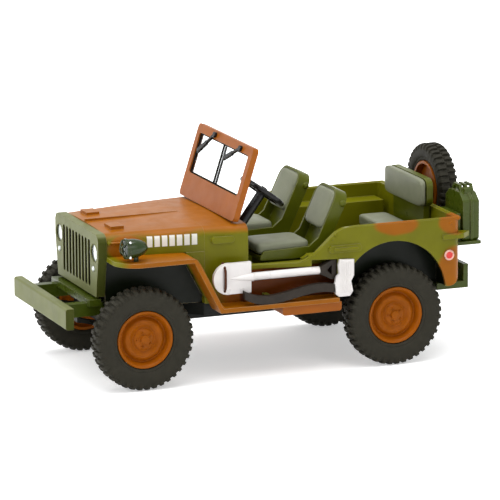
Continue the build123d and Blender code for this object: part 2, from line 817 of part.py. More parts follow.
bend = (seat_bend_x, seat_pan_z)
back_normal = Axis((0, 0, 0), (back_front[0], 0, back_front[1]))
back_plane = Plane(
    origin=(seat_bend_x, 0, seat_pan_z),
    x_dir=(0, 1, 0),
    z_dir=(back_front[0], 0, back_front[1]),
)
for name, side in (("driver", 1), ("passenger", -1)):
    with BuildPart() as seat_shell:
        with BuildSketch(across(0, 0)):
            with BuildLine():
                Polyline(
                    (seat_front_x, seat_pan_z),
                    bend,
                    along_back(bend, 1.0, 0),
                    along_back(bend, 1.0, -shell_thick),
                    along_back(bend, -shell_thick, -shell_thick),
                    (seat_front_x, seat_pan_z - shell_thick),
                    close=True,
                )
            make_face()
        extrude(amount=seat_half, both=True)
        # The back is a shallow tray that holds the pad; low cheeks run beside the cushion
        with BuildSketch(back_plane.offset(-shell_thick)) as tray:
            with Locations((0, seat_back_height / 2)):
                Rectangle(2 * seat_half, seat_back_height)
            fillet(tray.vertices().group_by(Axis.Y)[-1], shell_corner)
        extrude(amount=shell_thick + tray_depth)
        with BuildSketch(back_plane):
            offset(tray.sketch_local, amount=-cheek_thick)
            with Locations((0, seat_back_height / 4)):
                Rectangle(2 * (seat_half - cheek_thick), seat_back_height / 2)
        extrude(amount=3 * tray_depth, mode=Mode.SUBTRACT)
        for cheek_side in (1, -1):
            with BuildSketch(Plane.XZ.offset(cheek_side * seat_half)):
                with BuildLine():
                    Polyline(
                        (seat_front_x, seat_pan_z),
                        (seat_front_x - 0.8, seat_pan_z + 0.9),
                        (seat_bend_x + 2.4, seat_pan_z + 1.1),
                        along_back(bend, 2.0, tray_depth),
                        along_back(bend, 2.0, 0),
                        along_back(bend, 0, -shell_thick),
                        close=True,
                    )
                make_face()
            extrude(amount=-cheek_side * cheek_thick)
        with Locations(((seat_front_x + seat_bend_x) / 2, 0, floor_top_z)):
            Box(8.4, 2 * seat_half - 1.6, seat_pan_z - shell_thick - floor_top_z,
                align=(Align.CENTER, Align.CENTER, Align.MIN))
    shell = seat_shell.part.moved(Location((0, side * seat_y, 0)))
    shell.label = f"{name}_seat_shell"
    export_step(shell, f"parts/{name}_seat_shell.step")
    pad_half = seat_half - pad_inset - 0.1
    with BuildPart() as cushion:
        with BuildSketch(Plane.XZ.offset(-side * seat_y - pad_half)) as cushion_side:
            with BuildLine():
                Polyline(
                    (seat_front_x + 0.2, seat_pan_z + 0.02),
                    (seat_front_x + 0.2, seat_pan_z + cushion_thick),
                    (seat_bend_x + 2.0, seat_pan_z + cushion_thick),
                    (seat_bend_x + 2.9, seat_pan_z + 0.02),
                    close=True,
                )
            make_face()
            front_edges = cushion_side.vertices().group_by(Axis.X)[-1]
            fillet(front_edges.sort_by(Axis.Y)[-1], 1.5)
        extrude(amount=2 * pad_half)
        fillet(cushion.faces().sort_by(Axis.Z)[-1].edges().filter_by(Axis.X), 0.5)
    save(cushion, f"{name}_seat_cushion")
    with BuildPart() as back_pad:
        with BuildSketch(Plane.XZ.offset(-side * seat_y - pad_half)):
            with BuildLine():
                Polyline(
                    along_back(bend, pad_foot, 0.02),
                    along_back(bend, pad_top, 0.02),
                    along_back(bend, pad_top, pad_thick),
                    along_back(bend, pad_foot, pad_thick),
                    close=True,
                )
            make_face()
        extrude(amount=2 * pad_half)
        fillet(back_pad.edges().filter_by(back_normal).sort_by(Axis.Z)[-2:], shell_corner - pad_inset)
    save(back_pad, f"{name}_seat_back")

# Rear bench between the wheelhouses
bench_half = 8.2
bench_back_x = tub_rear_x + 1.6
bench_pan_z = 20.0
bench_depth = 6.6
bench_cushion_z = 22.4
bench_pan_thick = 0.7
bench_plate_front_x = bench_back_x + 0.9
bench_plate_thick = 1.2
bench_pad_foot_z = 26.0
bench_pad_height = 5.0
bench_pad_thick = 1.4
bench_pad_corner = 1.5
bench_leg = 1.0
bench_leg_foot_z = bench_pan_z - bench_pan_thick
pad_face = section_plane(bench_plate_front_x)
pad_centre = (0, bench_pad_foot_z + bench_pad_height / 2)

with BuildPart() as bench_frame:
    with Locations((bench_plate_front_x + bench_depth / 2 - 0.1, 0, bench_pan_z)):
        Box(bench_depth, 2 * bench_half, bench_pan_thick, align=(Align.CENTER, Align.CENTER, Align.MAX))
    with BuildSketch(pad_face):
        with Locations(pad_centre):
            RectangleRounded(2 * bench_half, bench_pad_height, bench_pad_corner)
        with Locations((0, (bench_leg_foot_z + bench_pad_foot_z) / 2 + 1)):
            Rectangle(2 * bench_half - 3, bench_pad_foot_z - bench_leg_foot_z + 2)
    extrude(amount=-bench_plate_thick)
    bench_leg_x = bench_back_x + bench_depth - 1.4
    with Locations(*[(bench_leg_x, side * (bench_half - 1.2), floor_top_z) for side in (1, -1)]):
        Box(
            bench_leg,
            bench_leg,
            bench_leg_foot_z - floor_top_z,
            align=(Align.CENTER, Align.CENTER, Align.MIN),
        )
save(bench_frame, "bench_frame")

with BuildPart() as bench_cushion:
    with Locations((bench_back_x + bench_depth / 2 + 1.4, 0, bench_pan_z)):
        Box(bench_depth - 1.0, 2 * bench_half, bench_cushion_z - bench_pan_z,
            align=(Align.CENTER, Align.CENTER, Align.MIN))
    fillet(bench_cushion.faces().sort_by(Axis.Z)[-1].edges(), 0.6)
save(bench_cushion, "bench_cushion")

with BuildPart() as bench_back:
    with BuildSketch(pad_face):
        with Locations(pad_centre):
            RectangleRounded(2 * bench_half, bench_pad_height, bench_pad_corner)
    extrude(amount=bench_pad_thick)
    fillet(bench_back.faces().sort_by(Axis.X)[-1].edges(), 0.5)
save(bench_back, "bench_back")

# Tools in the left recess: a shovel and an axe
tool_y = 16.5
axe_y = 17.55
shovel_z = 18.4
blade_tip_x = front_x - 12.9
blade_rear_x = blade_tip_x - 7.0
blade_half = 2.75
blade_thick = 0.7
shaft_radius = 0.7
shaft_rear_x = blade_rear_x - 12.9
grip_rear_x = shaft_rear_x - 3.1
axe_z = 15.0
axe_head_x = rear_x + 10.2
axe_head_rise = 5.3
axe_head_length = 3.7
handle_width = 1.5
handle_thick = 1.1
tool_plane = Plane.XZ.offset(-tool_y)
axe_plane = Plane.XZ.offset(-axe_y)

with BuildPart() as shovel:
    with BuildSketch(tool_plane):
        with BuildLine():
            blade_side = Line(
                (blade_rear_x, shovel_z + blade_half),
                (blade_tip_x - 3.2, shovel_z + blade_half),
            )
            ThreePointArc(
                blade_side @ 1,
                (blade_tip_x, shovel_z + 0.6),
                (blade_tip_x - 3.2, shovel_z - blade_half),
            )
            Polyline(
                (blade_tip_x - 3.2, shovel_z - blade_half),
                (blade_rear_x, shovel_z - blade_half),
                blade_side @ 0,
            )
        make_face()
    extrude(amount=blade_thick / 2, both=True)
    # The socket tapers from the blade into the round shaft
    with BuildSketch(Plane(origin=(blade_rear_x - 1.0, tool_y, shovel_z), z_dir=(1, 0, 0))):
        Circle(shaft_radius)
    with BuildSketch(Plane(origin=(blade_rear_x + 2.6, tool_y, shovel_z), z_dir=(1, 0, 0))):
        Circle(0.35)
    loft()
    with BuildSketch(Plane(origin=(blade_rear_x - 0.5, tool_y, shovel_z), z_dir=(-1, 0, 0))):
        Circle(shaft_radius)
    extrude(amount=blade_rear_x - 0.5 - shaft_rear_x)
save(shovel, "shovel")

with BuildPart() as shovel_grip:
    with BuildSketch(tool_plane):
        with BuildLine():
            Polyline(
                (shaft_rear_x, shovel_z + 0.6),
                (grip_rear_x + 1.0, shovel_z + 1.7),
                (grip_rear_x, shovel_z + 1.7),
                (grip_rear_x, shovel_z - 1.7),
                (grip_rear_x + 1.0, shovel_z - 1.7),
                (shaft_rear_x, shovel_z - 0.6),
                close=True,
            )
        make_face()
        with BuildLine():
            Polyline(
                (shaft_rear_x - 1.3, shovel_z),
                (grip_rear_x + 0.9, shovel_z + 0.9),
                (grip_rear_x + 0.9, shovel_z - 0.9),
                close=True,
            )
        make_face(mode=Mode.SUBTRACT)
    extrude(amount=0.6, both=True)
save(shovel_grip, "shovel_grip")

with BuildPart() as axe_head:
    with BuildSketch(Plane.XZ.offset(-axe_y - 0.25)):
        with BuildLine():
            Polyline(
                (axe_head_x + axe_head_length / 2 - 0.4, axe_z + axe_head_rise),
                (axe_head_x + axe_head_length / 2, axe_z + 0.8),
                (axe_head_x + axe_head_length / 2, axe_z - 1.0),
                (axe_head_x - axe_head_length / 2 + 0.6, axe_z - 1.4),
                (axe_head_x - axe_head_length / 2, axe_z + 0.8),
                (axe_head_x - axe_head_length / 2, axe_z + axe_head_rise - 0.4),
                close=True,
            )
        make_face()
    extrude(amount=0.35, both=True)
save(axe_head, "axe_head")

axe_front_x = cowl_rear_x + 2.2
axe_run = axe_front_x - axe_head_x
axe_waist_x = axe_head_x + 0.45 * axe_run
axe_belly_x = axe_head_x + 0.76 * axe_run
with BuildPart() as axe_handle:
    with BuildSketch(axe_plane):
        with BuildLine() as handle_top:
            Spline(
                (axe_head_x + axe_head_length / 2, axe_z + 0.2 + handle_width / 2),
                (axe_waist_x, axe_z + 0.1 + handle_width / 2),
                (axe_belly_x, axe_z - 0.75 + handle_width / 2),
                (axe_front_x, axe_z + 0.5 + handle_width / 2),
            )
            Line(handle_top.wires()[0] @ 1, (axe_front_x, axe_z + 0.5 - handle_width / 2))
            Spline(
                (axe_front_x, axe_z + 0.5 - handle_width / 2),
                (axe_belly_x, axe_z - 0.75 - handle_width / 2),
                (axe_waist_x, axe_z + 0.1 - handle_width / 2),
                (axe_head_x + axe_head_length / 2, axe_z + 0.2 - handle_width / 2),
            )
            Line(
                (axe_head_x + axe_head_length / 2, axe_z + 0.2 - handle_width / 2),
                (axe_head_x + axe_head_length / 2, axe_z + 0.2 + handle_width / 2),
            )
        make_face()
    extrude(amount=handle_thick / 2, both=True)
save(axe_handle, "axe_handle")

clamp_places = (
    # x, z, inner face of the tool
    (blade_tip_x - 2.6, shovel_z, tool_y - blade_thick / 2),
    (axe_front_x - 5.0, axe_z - 0.6, axe_y - handle_thick / 2),
    (shaft_rear_x + 1.5, shovel_z, tool_y - shaft_radius),
)
with BuildPart() as tool_clamps:
    for clamp_x, clamp_z, tool_face in clamp_places:
        with Locations((clamp_x, recess_half, clamp_z)):
            Box(0.9, tool_face - recess_half, 0.9, align=(Align.CENTER, Align.MIN, Align.CENTER))
save(tool_clamps, "tool_clamps")

# Blackout lamp on the left fender
blackout_x = front_x + 2.2
blackout_y = 15.9
blackout_z = 25.2
blackout_radius = 1.8
with BuildPart() as blackout_lamp:
    with BuildSketch(Plane.XY.offset(blackout_z)):
        with BuildLine():
            Polyline(
                (blackout_x + 1.0, blackout_y),
                (blackout_x + 1.0, blackout_y + blackout_radius),
                (blackout_x - 0.4, blackout_y + blackout_radius),
                (blackout_x - 2.6, blackout_y + 0.6),
                (blackout_x - 3.2, blackout_y),
                close=True,
            )
        make_face()
    revolve(axis=Axis((blackout_x, blackout_y, blackout_z), (1, 0, 0)))
    with Locations((blackout_x - 0.6, blackout_y, fender_top_z)):
        Cylinder(0.6, blackout_z - fender_top_z, align=(Align.CENTER, Align.CENTER, Align.MIN))
save(blackout_lamp, "blackout_lamp")

with BuildPart() as blackout_lens:
    with BuildSketch(Plane(origin=(blackout_x + 1.0, blackout_y, blackout_z), z_dir=(1, 0, 0))):
        Circle(blackout_radius - 0.25)
    extrude(amount=0.3)
save(blackout_lens, "blackout_lens")

# Rear: spare carrier, can with its bracket, bumperettes, tow hook and reflectors
spare_y = -2.5
spare_z = 27.0
spare_inner_x = -length / 2 + spare_width
can_y = 11.2
can_half = 3.8
can_foot_z = 20.8
can_top_z = 29.4
can_depth = 3.3
can_x = tub_rear_x - 1.5 - can_depth / 2

with BuildPart() as spare_carrier:
    with BuildSketch(section_plane(tub_rear_x)):
        with BuildLine():
            Polyline(
                (spare_y - 3.0, 19.0),
                (spare_y + 3.0, 19.0),
                (spare_y + 1.6, spare_z + 1.4),
                (spare_y - 1.6, spare_z + 1.4),
                close=True,
            )
        make_face()
    extrude(amount=spare_inner_x - tub_rear_x)
    with BuildSketch(section_plane(spare_inner_x)):
        with Locations((spare_y, spare_z)):
            Circle(1.7)
    extrude(amount=hub_inner - spare_width / 2)
    with BuildSketch(section_plane(spare_inner_x)):
        with Locations((spare_y, spare_z)):
            Circle(pin_radius)
    extrude(amount=0.8 - hub_inner - spare_width / 2)
save(spare_carrier, "spare_carrier")

can_shoulder = (1.7, 1.4)
carry_bar = (4.2, 1.6)
seam_thick = 0.5
seam_rise = 0.25
can_panel_recess = 0.3
with BuildPart() as jerrycan:
    with BuildSketch(section_plane(can_x)) as can_outline:
        with BuildLine():
            Polyline(
                (can_y - can_half, can_foot_z),
                (can_y - can_half, can_top_z - can_shoulder[1]),
                (can_y - can_half + can_shoulder[0], can_top_z),
                (can_y + can_half - can_shoulder[0], can_top_z),
                (can_y + can_half, can_top_z - can_shoulder[1]),
                (can_y + can_half, can_foot_z),
                close=True,
            )
        make_face()
        fillet(can_outline.vertices(), 0.6)
    extrude(amount=can_depth / 2, both=True)
    fillet(jerrycan.faces().sort_by(Axis.X)[0].edges(), 0.4)
    # Recessed panel with a diagonal cross on the rear face
    with BuildSketch(section_plane(can_x - can_depth / 2)):
        with Locations((can_y, (can_foot_z + can_top_z) / 2 - 0.5)):
            RectangleRounded(2 * can_half - 2.0, can_top_z - can_foot_z - 3.0, 0.5)
            for turn in (48, -48):
                with Locations(Location((0, 0), turn)):
                    Rectangle(2 * can_half + 4, 0.8, mode=Mode.SUBTRACT)
    extrude(amount=can_panel_recess, mode=Mode.SUBTRACT)
    # A raised seam runs round the middle
    with BuildSketch(section_plane(can_x)):
        offset(can_outline.sketch_local, amount=seam_rise)
    extrude(amount=seam_thick / 2, both=True)
    with BuildSketch(section_plane(can_x)):
        with Locations((can_y, can_foot_z - 1)):
            Rectangle(4 * can_half, 2)
    extrude(amount=can_depth, both=True, mode=Mode.SUBTRACT)
    for offset_x in (-1.05, 0, 1.05):
        with BuildSketch(section_plane(can_x + offset_x)):
            with Locations((can_y, can_top_z + 0.4)):
                Trapezoid(carry_bar[0], carry_bar[1], 60)
                Trapezoid(carry_bar[0] - 1.5, carry_bar[1] - 0.9, 60, mode=Mode.SUBTRACT)
        extrude(amount=0.25, both=True)
    # Spout cap on the outer shoulder
    with BuildSketch(section_plane(can_x)):
        with Locations((can_y + can_half - can_shoulder[0] - 0.3, can_top_z)):
            RectangleRounded(1.6, 1.4, 0.3)
    extrude(amount=0.8, both=True)
save(jerrycan, "jerrycan")

with BuildPart() as can_bracket:
    bracket_foot_z = can_foot_z - 0.6
    with Locations((tub_rear_x, can_y, bracket_foot_z)):
        Box(1.5 + can_depth, 2 * can_half + 1.0, 0.6, align=(Align.MAX, Align.CENTER, Align.MIN))
    with Locations((tub_rear_x, can_y, bracket_foot_z)):
        Box(1.2, 2 * can_half - 1.0, 5.6, align=(Align.MAX, Align.CENTER, Align.MIN))
save(can_bracket, "can_bracket")

bumperette_y = 12.5
bumperette_half = 2.4
bumperette_reach = 2.6
bumperette_top_z = 16.6
bumperette_thick = 0.9
arm_foot_z = sill_z - 1.2
with BuildPart() as rear_bumperettes:
    for side in (1, -1):
        with BuildSketch(Plane.XZ.offset(-side * bumperette_y - bumperette_half)):
            with BuildLine():
                Polyline(
                    (tub_rear_x + foot_curve + 1.2, arm_foot_z),
                    (tub_rear_x - bumperette_reach, arm_foot_z),
                    (tub_rear_x - bumperette_reach, bumperette_top_z),
                    (tub_rear_x - bumperette_reach + bumperette_thick, bumperette_top_z),
                    (tub_rear_x - bumperette_reach + bumperette_thick, sill_z),
                    (tub_rear_x + foot_curve + 1.2, sill_z),
                    close=True,
                )
            make_face()
        extrude(amount=2 * bumperette_half)
save(rear_bumperettes, "rear_bumperettes")

hook_z = 12.4
hook_thick = 1.2
hook_radius = 1.6
hook_eye_radius = 0.7
hook_x = tub_rear_x - 2.4
with BuildPart() as tow_hook:
    with Locations((tub_rear_x, 0, hook_z)):
        Box(1.0, 4.0, 2.0, align=(Align.MAX, Align.CENTER, Align.CENTER))
    with BuildSketch(Plane.XZ.offset(-hook_thick / 2)):
        with Locations((hook_x, hook_z)):
            Circle(hook_radius)
            Circle(hook_eye_radius, mode=Mode.SUBTRACT)
        with Locations((hook_x - hook_radius, hook_z + 1.0)):
            Rectangle(hook_radius, 1.2, mode=Mode.SUBTRACT)
    extrude(amount=hook_thick)
save(tow_hook, "tow_hook")

reflector_x = tub_rear_x + 2.4
reflector_z = 19.2
reflector_radius = 0.8
reflector_rise = 0.4
with BuildPart() as rear_reflectors:
    for side in (1, -1):
        with BuildSketch(Plane.XZ.offset(-side * quarter_half)):
            with Locations((reflector_x, reflector_z)):
                Circle(reflector_radius)
        extrude(amount=-side * reflector_rise)
save(rear_reflectors, "rear_reflectors")

# Wheels: five rims and tyres on their axle pins and the spare's stud
ground_wheels = (
    # name, axle x, side
    ("front_left", front_x, 1),
    ("front_right", front_x, -1),
    ("rear_left", rear_x, 1),
    ("rear_right", rear_x, -1),
)
wheel_places = [
    (name, Vector(axle_x, side * track_half, tyre_radius), Vector(0, side, 0), Vector(1, 0, 0))
    for name, axle_x, side in ground_wheels
]
wheel_places.append(
    ("spare", Vector(spare_inner_x - spare_width / 2, spare_y, spare_z), Vector(-1, 0, 0), Vector(0, 0, 1))
)
rim_half = 1.7
rim_profile = (
    # radius, distance outboard of the wheel's middle
    (0, 1.75), (1.1, 1.75), (1.5, 1.35), (1.5, 0.75), (2.3, 0.75), (2.6, 1.15), (3.3, 1.15),
    (3.6, 0.5), (4.2, 0.5), (4.6, rim_half), (rim_radius, rim_half), (rim_radius, -1.6), (4.6, -1.6),
    (4.4, -0.4), (1.8, -0.4), (1.8, -hub_inner), (pin_radius + hub_fit, -hub_inner),
    (pin_radius + hub_fit, 0.9), (0, 0.9),
)


def tyre_profile(radius, half_width):
    """Half of a tyre's section as radius and distance outboard of the wheel's middle."""
    inner_side = [(rim_radius + rim_fit, 0.6 - half_width), (6.3, -half_width), (radius - 1.05, -half_width),
                  (radius, 0.7 - half_width)]
    return inner_side + [(r, -distance) for r, distance in reversed(inner_side)]


for name, centre, outward, radial in wheel_places:
    profile_plane = Plane(origin=centre, x_dir=radial, z_dir=radial.cross(outward))
    axle_line = Axis(centre, outward)
    with BuildPart() as rim:
        with BuildSketch(profile_plane):
            with BuildLine():
                Polyline(*rim_profile, close=True)
            make_face()
        revolve(axis=axle_line)
    save(rim, f"{name}_rim")
    outer, width = (spare_radius, spare_width) if name == "spare" else (tyre_radius, tyre_width)
    with BuildPart() as tyre:
        with BuildSketch(profile_plane) as tyre_section:
            with BuildLine():
                Polyline(*tyre_profile(outer, width / 2), close=True)
            make_face()
            fillet(tyre_section.vertices().sort_by_distance((outer, 0, 0))[:2], 0.4)
        revolve(axis=axle_line)
    save(tyre, f"{name}_tyre")

pin_half = track_half + 0.85
for name, axle_x in (("front_axle_pin", front_x), ("rear_axle_pin", rear_x)):
    with BuildPart() as pin:
        with BuildSketch(Plane.XZ.offset(-pin_half)):
            with Locations((axle_x, tyre_radius)):
                Circle(pin_radius)
        extrude(amount=2 * pin_half)
    save(pin, name)
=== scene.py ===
"""Looks of a die-cast 1:43 model of an open army 4x4 car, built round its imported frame.

Everything is in metres, +X forwards, +Y to the car's left, +Z up, with the origin on the
floor under the middle of the model. Sizes written in millimetres are turned by MM.
"""
from __future__ import annotations

import logging
import math
from dataclasses import dataclass
from enum import Enum

import bmesh
import bpy
import numpy as np
from mathutils import Matrix, Vector


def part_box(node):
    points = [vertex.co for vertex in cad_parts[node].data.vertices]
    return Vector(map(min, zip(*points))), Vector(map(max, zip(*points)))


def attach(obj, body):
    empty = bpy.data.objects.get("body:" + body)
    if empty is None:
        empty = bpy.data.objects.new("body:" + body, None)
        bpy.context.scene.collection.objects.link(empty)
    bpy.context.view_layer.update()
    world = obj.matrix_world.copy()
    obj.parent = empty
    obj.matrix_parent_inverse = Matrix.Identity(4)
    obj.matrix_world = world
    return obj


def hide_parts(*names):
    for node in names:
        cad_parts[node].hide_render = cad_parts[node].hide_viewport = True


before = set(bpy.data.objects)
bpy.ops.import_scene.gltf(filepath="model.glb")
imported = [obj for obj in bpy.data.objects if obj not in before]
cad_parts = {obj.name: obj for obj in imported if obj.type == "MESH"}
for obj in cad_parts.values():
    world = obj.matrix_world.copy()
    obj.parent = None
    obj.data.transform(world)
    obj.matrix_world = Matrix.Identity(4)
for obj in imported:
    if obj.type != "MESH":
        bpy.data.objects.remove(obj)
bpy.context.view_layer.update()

MM = 0.001
# Pale colour and share towards which sharp edges lighten: partly worn paint, partly painted
# highlight
EDGE_WEAR_AND_HIGHLIGHT = (214, 200, 160)
EDGE_WEAR_AND_HIGHLIGHT_SHARE = 0.45
PURE_WHITE = (1.0, 1.0, 1.0, 1.0)
COAT_ROUGHNESS = 0.18
BEVEL_SAMPLES = 4
Socket = bpy.types.NodeSocket
Feed = Socket | float | tuple[float, ...]
log = logging.getLogger("army_car")


def linear(red: int, green: int, blue: int) -> tuple[float, float, float, float]:
    """Turn an 8-bit display colour into the linear colour that a shader socket takes.

    Args:
        red: Red from 0 to 255.
        green: Green from 0 to 255.
        blue: Blue from 0 to 255.

    Returns:
        Linear red, green, blue and an alpha of 1.
    """
    display = np.array([red, green, blue]) / 255
    value = np.where(display <= 0.04045, display / 12.92, ((display + 0.055) / 1.055) ** 2.4)
    return (float(value[0]), float(value[1]), float(value[2]), 1.0)


class Body(Enum):
    """The rigid bodies that a piece can ride on."""

    CAR = "car"
    FRONT_AXLE = "front_axle_set"
    REAR_AXLE = "rear_axle_set"


@dataclass(frozen=True)
class Patch:
    """One place that a sprayed layer covers, in the car's frame, in millimetres."""

    centre: tuple[float, float, float]
    reach: tuple[float, float, float]
    square: bool = False


@dataclass(frozen=True)
class Layer:
    """A colour laid over the ones below it, inside its patches."""

    colour: tuple[int, int, int]
    patches: tuple[Patch, ...]
    softness: float = 0.16
    wander: float = 1.6


@dataclass(frozen=True)
class Finish:
    """A painted or moulded finish, with its colour, gloss, grain and any layers laid over it:
    camouflage paint and painted shade.
    """

    name: str
    colour: tuple[int, int, int]
    roughness: float = 0.4
    metallic: float = 0.0
    specular: float = 0.18
    coat: float = 0.0
    mottle: float = 0.10
    mottle_size: float = 5.0
    grain: float = 0.05
    grain_size: float = 0.35
    soft_edge: float = 0.12
    # How far sharp edges lighten: partly worn paint, partly painted highlight
    edge_wear_and_highlight: float = 0.0
    # Darker colour for faces turned to the car's sides: painted shade
    shaded_side_colour: tuple[int, int, int] | None = None
    layers: tuple[Layer, ...] = ()

    def material(self) -> bpy.types.Material:
        """Build the node material.

        Returns:
            A material whose colour, roughness and surface come from Object coordinates.
        """
        shading = Shading(self.name)
        place = shading.coordinates("Object")
        colour = shading.drift(place, linear(*self.colour), self.mottle, self.mottle_size)
        # Faces turned to the car's sides darken: painted shade
        if self.shaded_side_colour is not None:
            side = shading.drift(place, linear(*self.shaded_side_colour), self.mottle, self.mottle_size)
            colour = shading.mix(shading.shaded_side_mask(), colour, side)
        for layer in self.layers:
            layer_colour = shading.drift(place, linear(*layer.colour), self.mottle, self.mottle_size)
            colour = shading.mix(shading.layer_mask(place, layer), colour, layer_colour)
        # Sharp edges lighten: partly worn paint, partly painted highlight
        if self.edge_wear_and_highlight > 0:
            worn_and_highlit = shading.mix(EDGE_WEAR_AND_HIGHLIGHT_SHARE, colour, linear(*EDGE_WEAR_AND_HIGHLIGHT))
            colour = shading.mix(shading.edge_mask(self.soft_edge, self.edge_wear_and_highlight), colour, worn_and_highlit)
        blotches = shading.noise(place, 1.0 / (self.mottle_size * 0.4 * MM), 3.0)
        shading.feed_shader({
            "Base Color": colour,
            "Roughness": shading.map_range(
                blotches, 0.3, 0.7, self.roughness - 0.05, self.roughness + 0.07
            ),
            "Metallic": self.metallic,
            "Specular IOR Level": self.specular,
            "Coat Weight": self.coat,
            "Coat Roughness": COAT_ROUGHNESS,
        })
        shading.surface_normal(place, self.grain, self.grain_size, self.soft_edge)
        return shading.material


class Graph:
    """Node tree that is wired up by short calls."""

    def __init__(self, tree: bpy.types.NodeTree) -> None:
        """Take over a node tree and empty it."""
        self.tree = tree
        self.tree.nodes.clear()

    def add(self, kind: str, **settings: object) -> bpy.types.Node:
        """Add a node and set its attributes.

        Args:
            kind: Blender's name for the kind of node.
            settings: Attributes of the node.

        Returns:
            The node.
        """
        node = self.tree.nodes.new(kind)
        for key, value in settings.items():
            setattr(node, key, value)
        return node

    def link(self, source: Socket, target: Socket) -> None:
        """Join an output socket to an input socket."""
        self.tree.links.new(source, target)

    def feed(self, target: Socket, value: Feed) -> None:
        """Join a socket to an input, or set the input to a fixed value.

        Args:
            target: The input socket.
            value: An output socket, a number or a colour.
        """
        if isinstance(value, Socket):
            self.link(value, target)
        else:
            target.default_value = value

    def wired(self, kind: str, output: str, inputs: dict[str | int, Feed],
              **settings: object) -> Socket:
        """Add a node, feed its inputs and give one of its outputs.

        Args:
            kind: Blender's name for the kind of node.
            output: Name of the output wanted.
            inputs: What goes into each input, by name or number.
            settings: Attributes of the node.

        Returns:
            The output socket.
        """
        node = self.add(kind, **settings)
        for name, value in inputs.items():
            self.feed(node.inputs[name], value)
        return node.outputs[output]

    def coordinates(self, kind: str) -> Socket:
        """Texture coordinates of a kind."""
        return self.add("ShaderNodeTexCoord").outputs[kind]

    def noise(self, place: Socket, scale: float, detail: float, output: str = "Fac") -> Socket:
        """Noise over a place, with scale cells for each metre."""
        inputs = {"Vector": place, "Scale": scale, "Detail": detail}
        return self.wired("ShaderNodeTexNoise", output, inputs)

    def map_range(self, value: Socket, low: float, high: float, to_low: float, to_high: float,
                  smooth: bool = False) -> Socket:
        """Carry a value from one range to another, clamped.

        Args:
            value: The socket to carry over.
            low: Start of the range read.
            high: End of the range read.
            to_low: Result at the start.
            to_high: Result at the end.
            smooth: Ease in and out instead of going straight.

        Returns:
            The resulting socket.
        """
        inputs = {
            "Value": value, "From Min": low, "From Max": high, "To Min": to_low, "To Max": to_high,
        }
        easing = "SMOOTHSTEP" if smooth else "LINEAR"
        return self.wired("ShaderNodeMapRange", "Result", inputs, clamp=True,
                          interpolation_type=easing)

    def math(self, operation: str, first: Feed, second: Feed) -> Socket:
        """Combine two sockets or numbers."""
        return self.wired("ShaderNodeMath", "Value", {0: first, 1: second}, operation=operation)

    def vector_math(self, operation: str, *values: Feed, output: str = "Vector") -> Socket:
        """Apply a vector operation to sockets and fixed vectors."""
        inputs = dict(enumerate(values))
        return self.wired("ShaderNodeVectorMath", output, inputs, operation=operation)

    def split(self, vector: Socket) -> bpy.types.NodeOutputs:
        """Take a vector apart.

        Args:
            vector: The vector socket.

        Returns:
            Outputs named X, Y and Z.
        """
        node = self.add("ShaderNodeSeparateXYZ")
        self.link(vector, node.inputs[0])
        return node.outputs

    def mix(self, factor: Feed, first: Feed, second: Feed, kind: str = "RGBA") -> Socket:
        """Blend two colours, or two numbers where kind is FLOAT."""
        inputs = {"Factor": factor, "A": first, "B": second}
        return self.wired("ShaderNodeMix", "Result", inputs, data_type=kind)

    def background_rays(self) -> Socket:
        """Find the rays that show the background: camera, transmission and glossy rays.

        Returns:
            A socket that is 1 for such a ray and 0 for any other.
        """
        paths = self.add("ShaderNodeLightPath").outputs
        seen = self.math("MAXIMUM", paths["Is Camera Ray"], paths["Is Transmission Ray"])
        return self.math("MAXIMUM", seen, paths["Is Glossy Ray"])


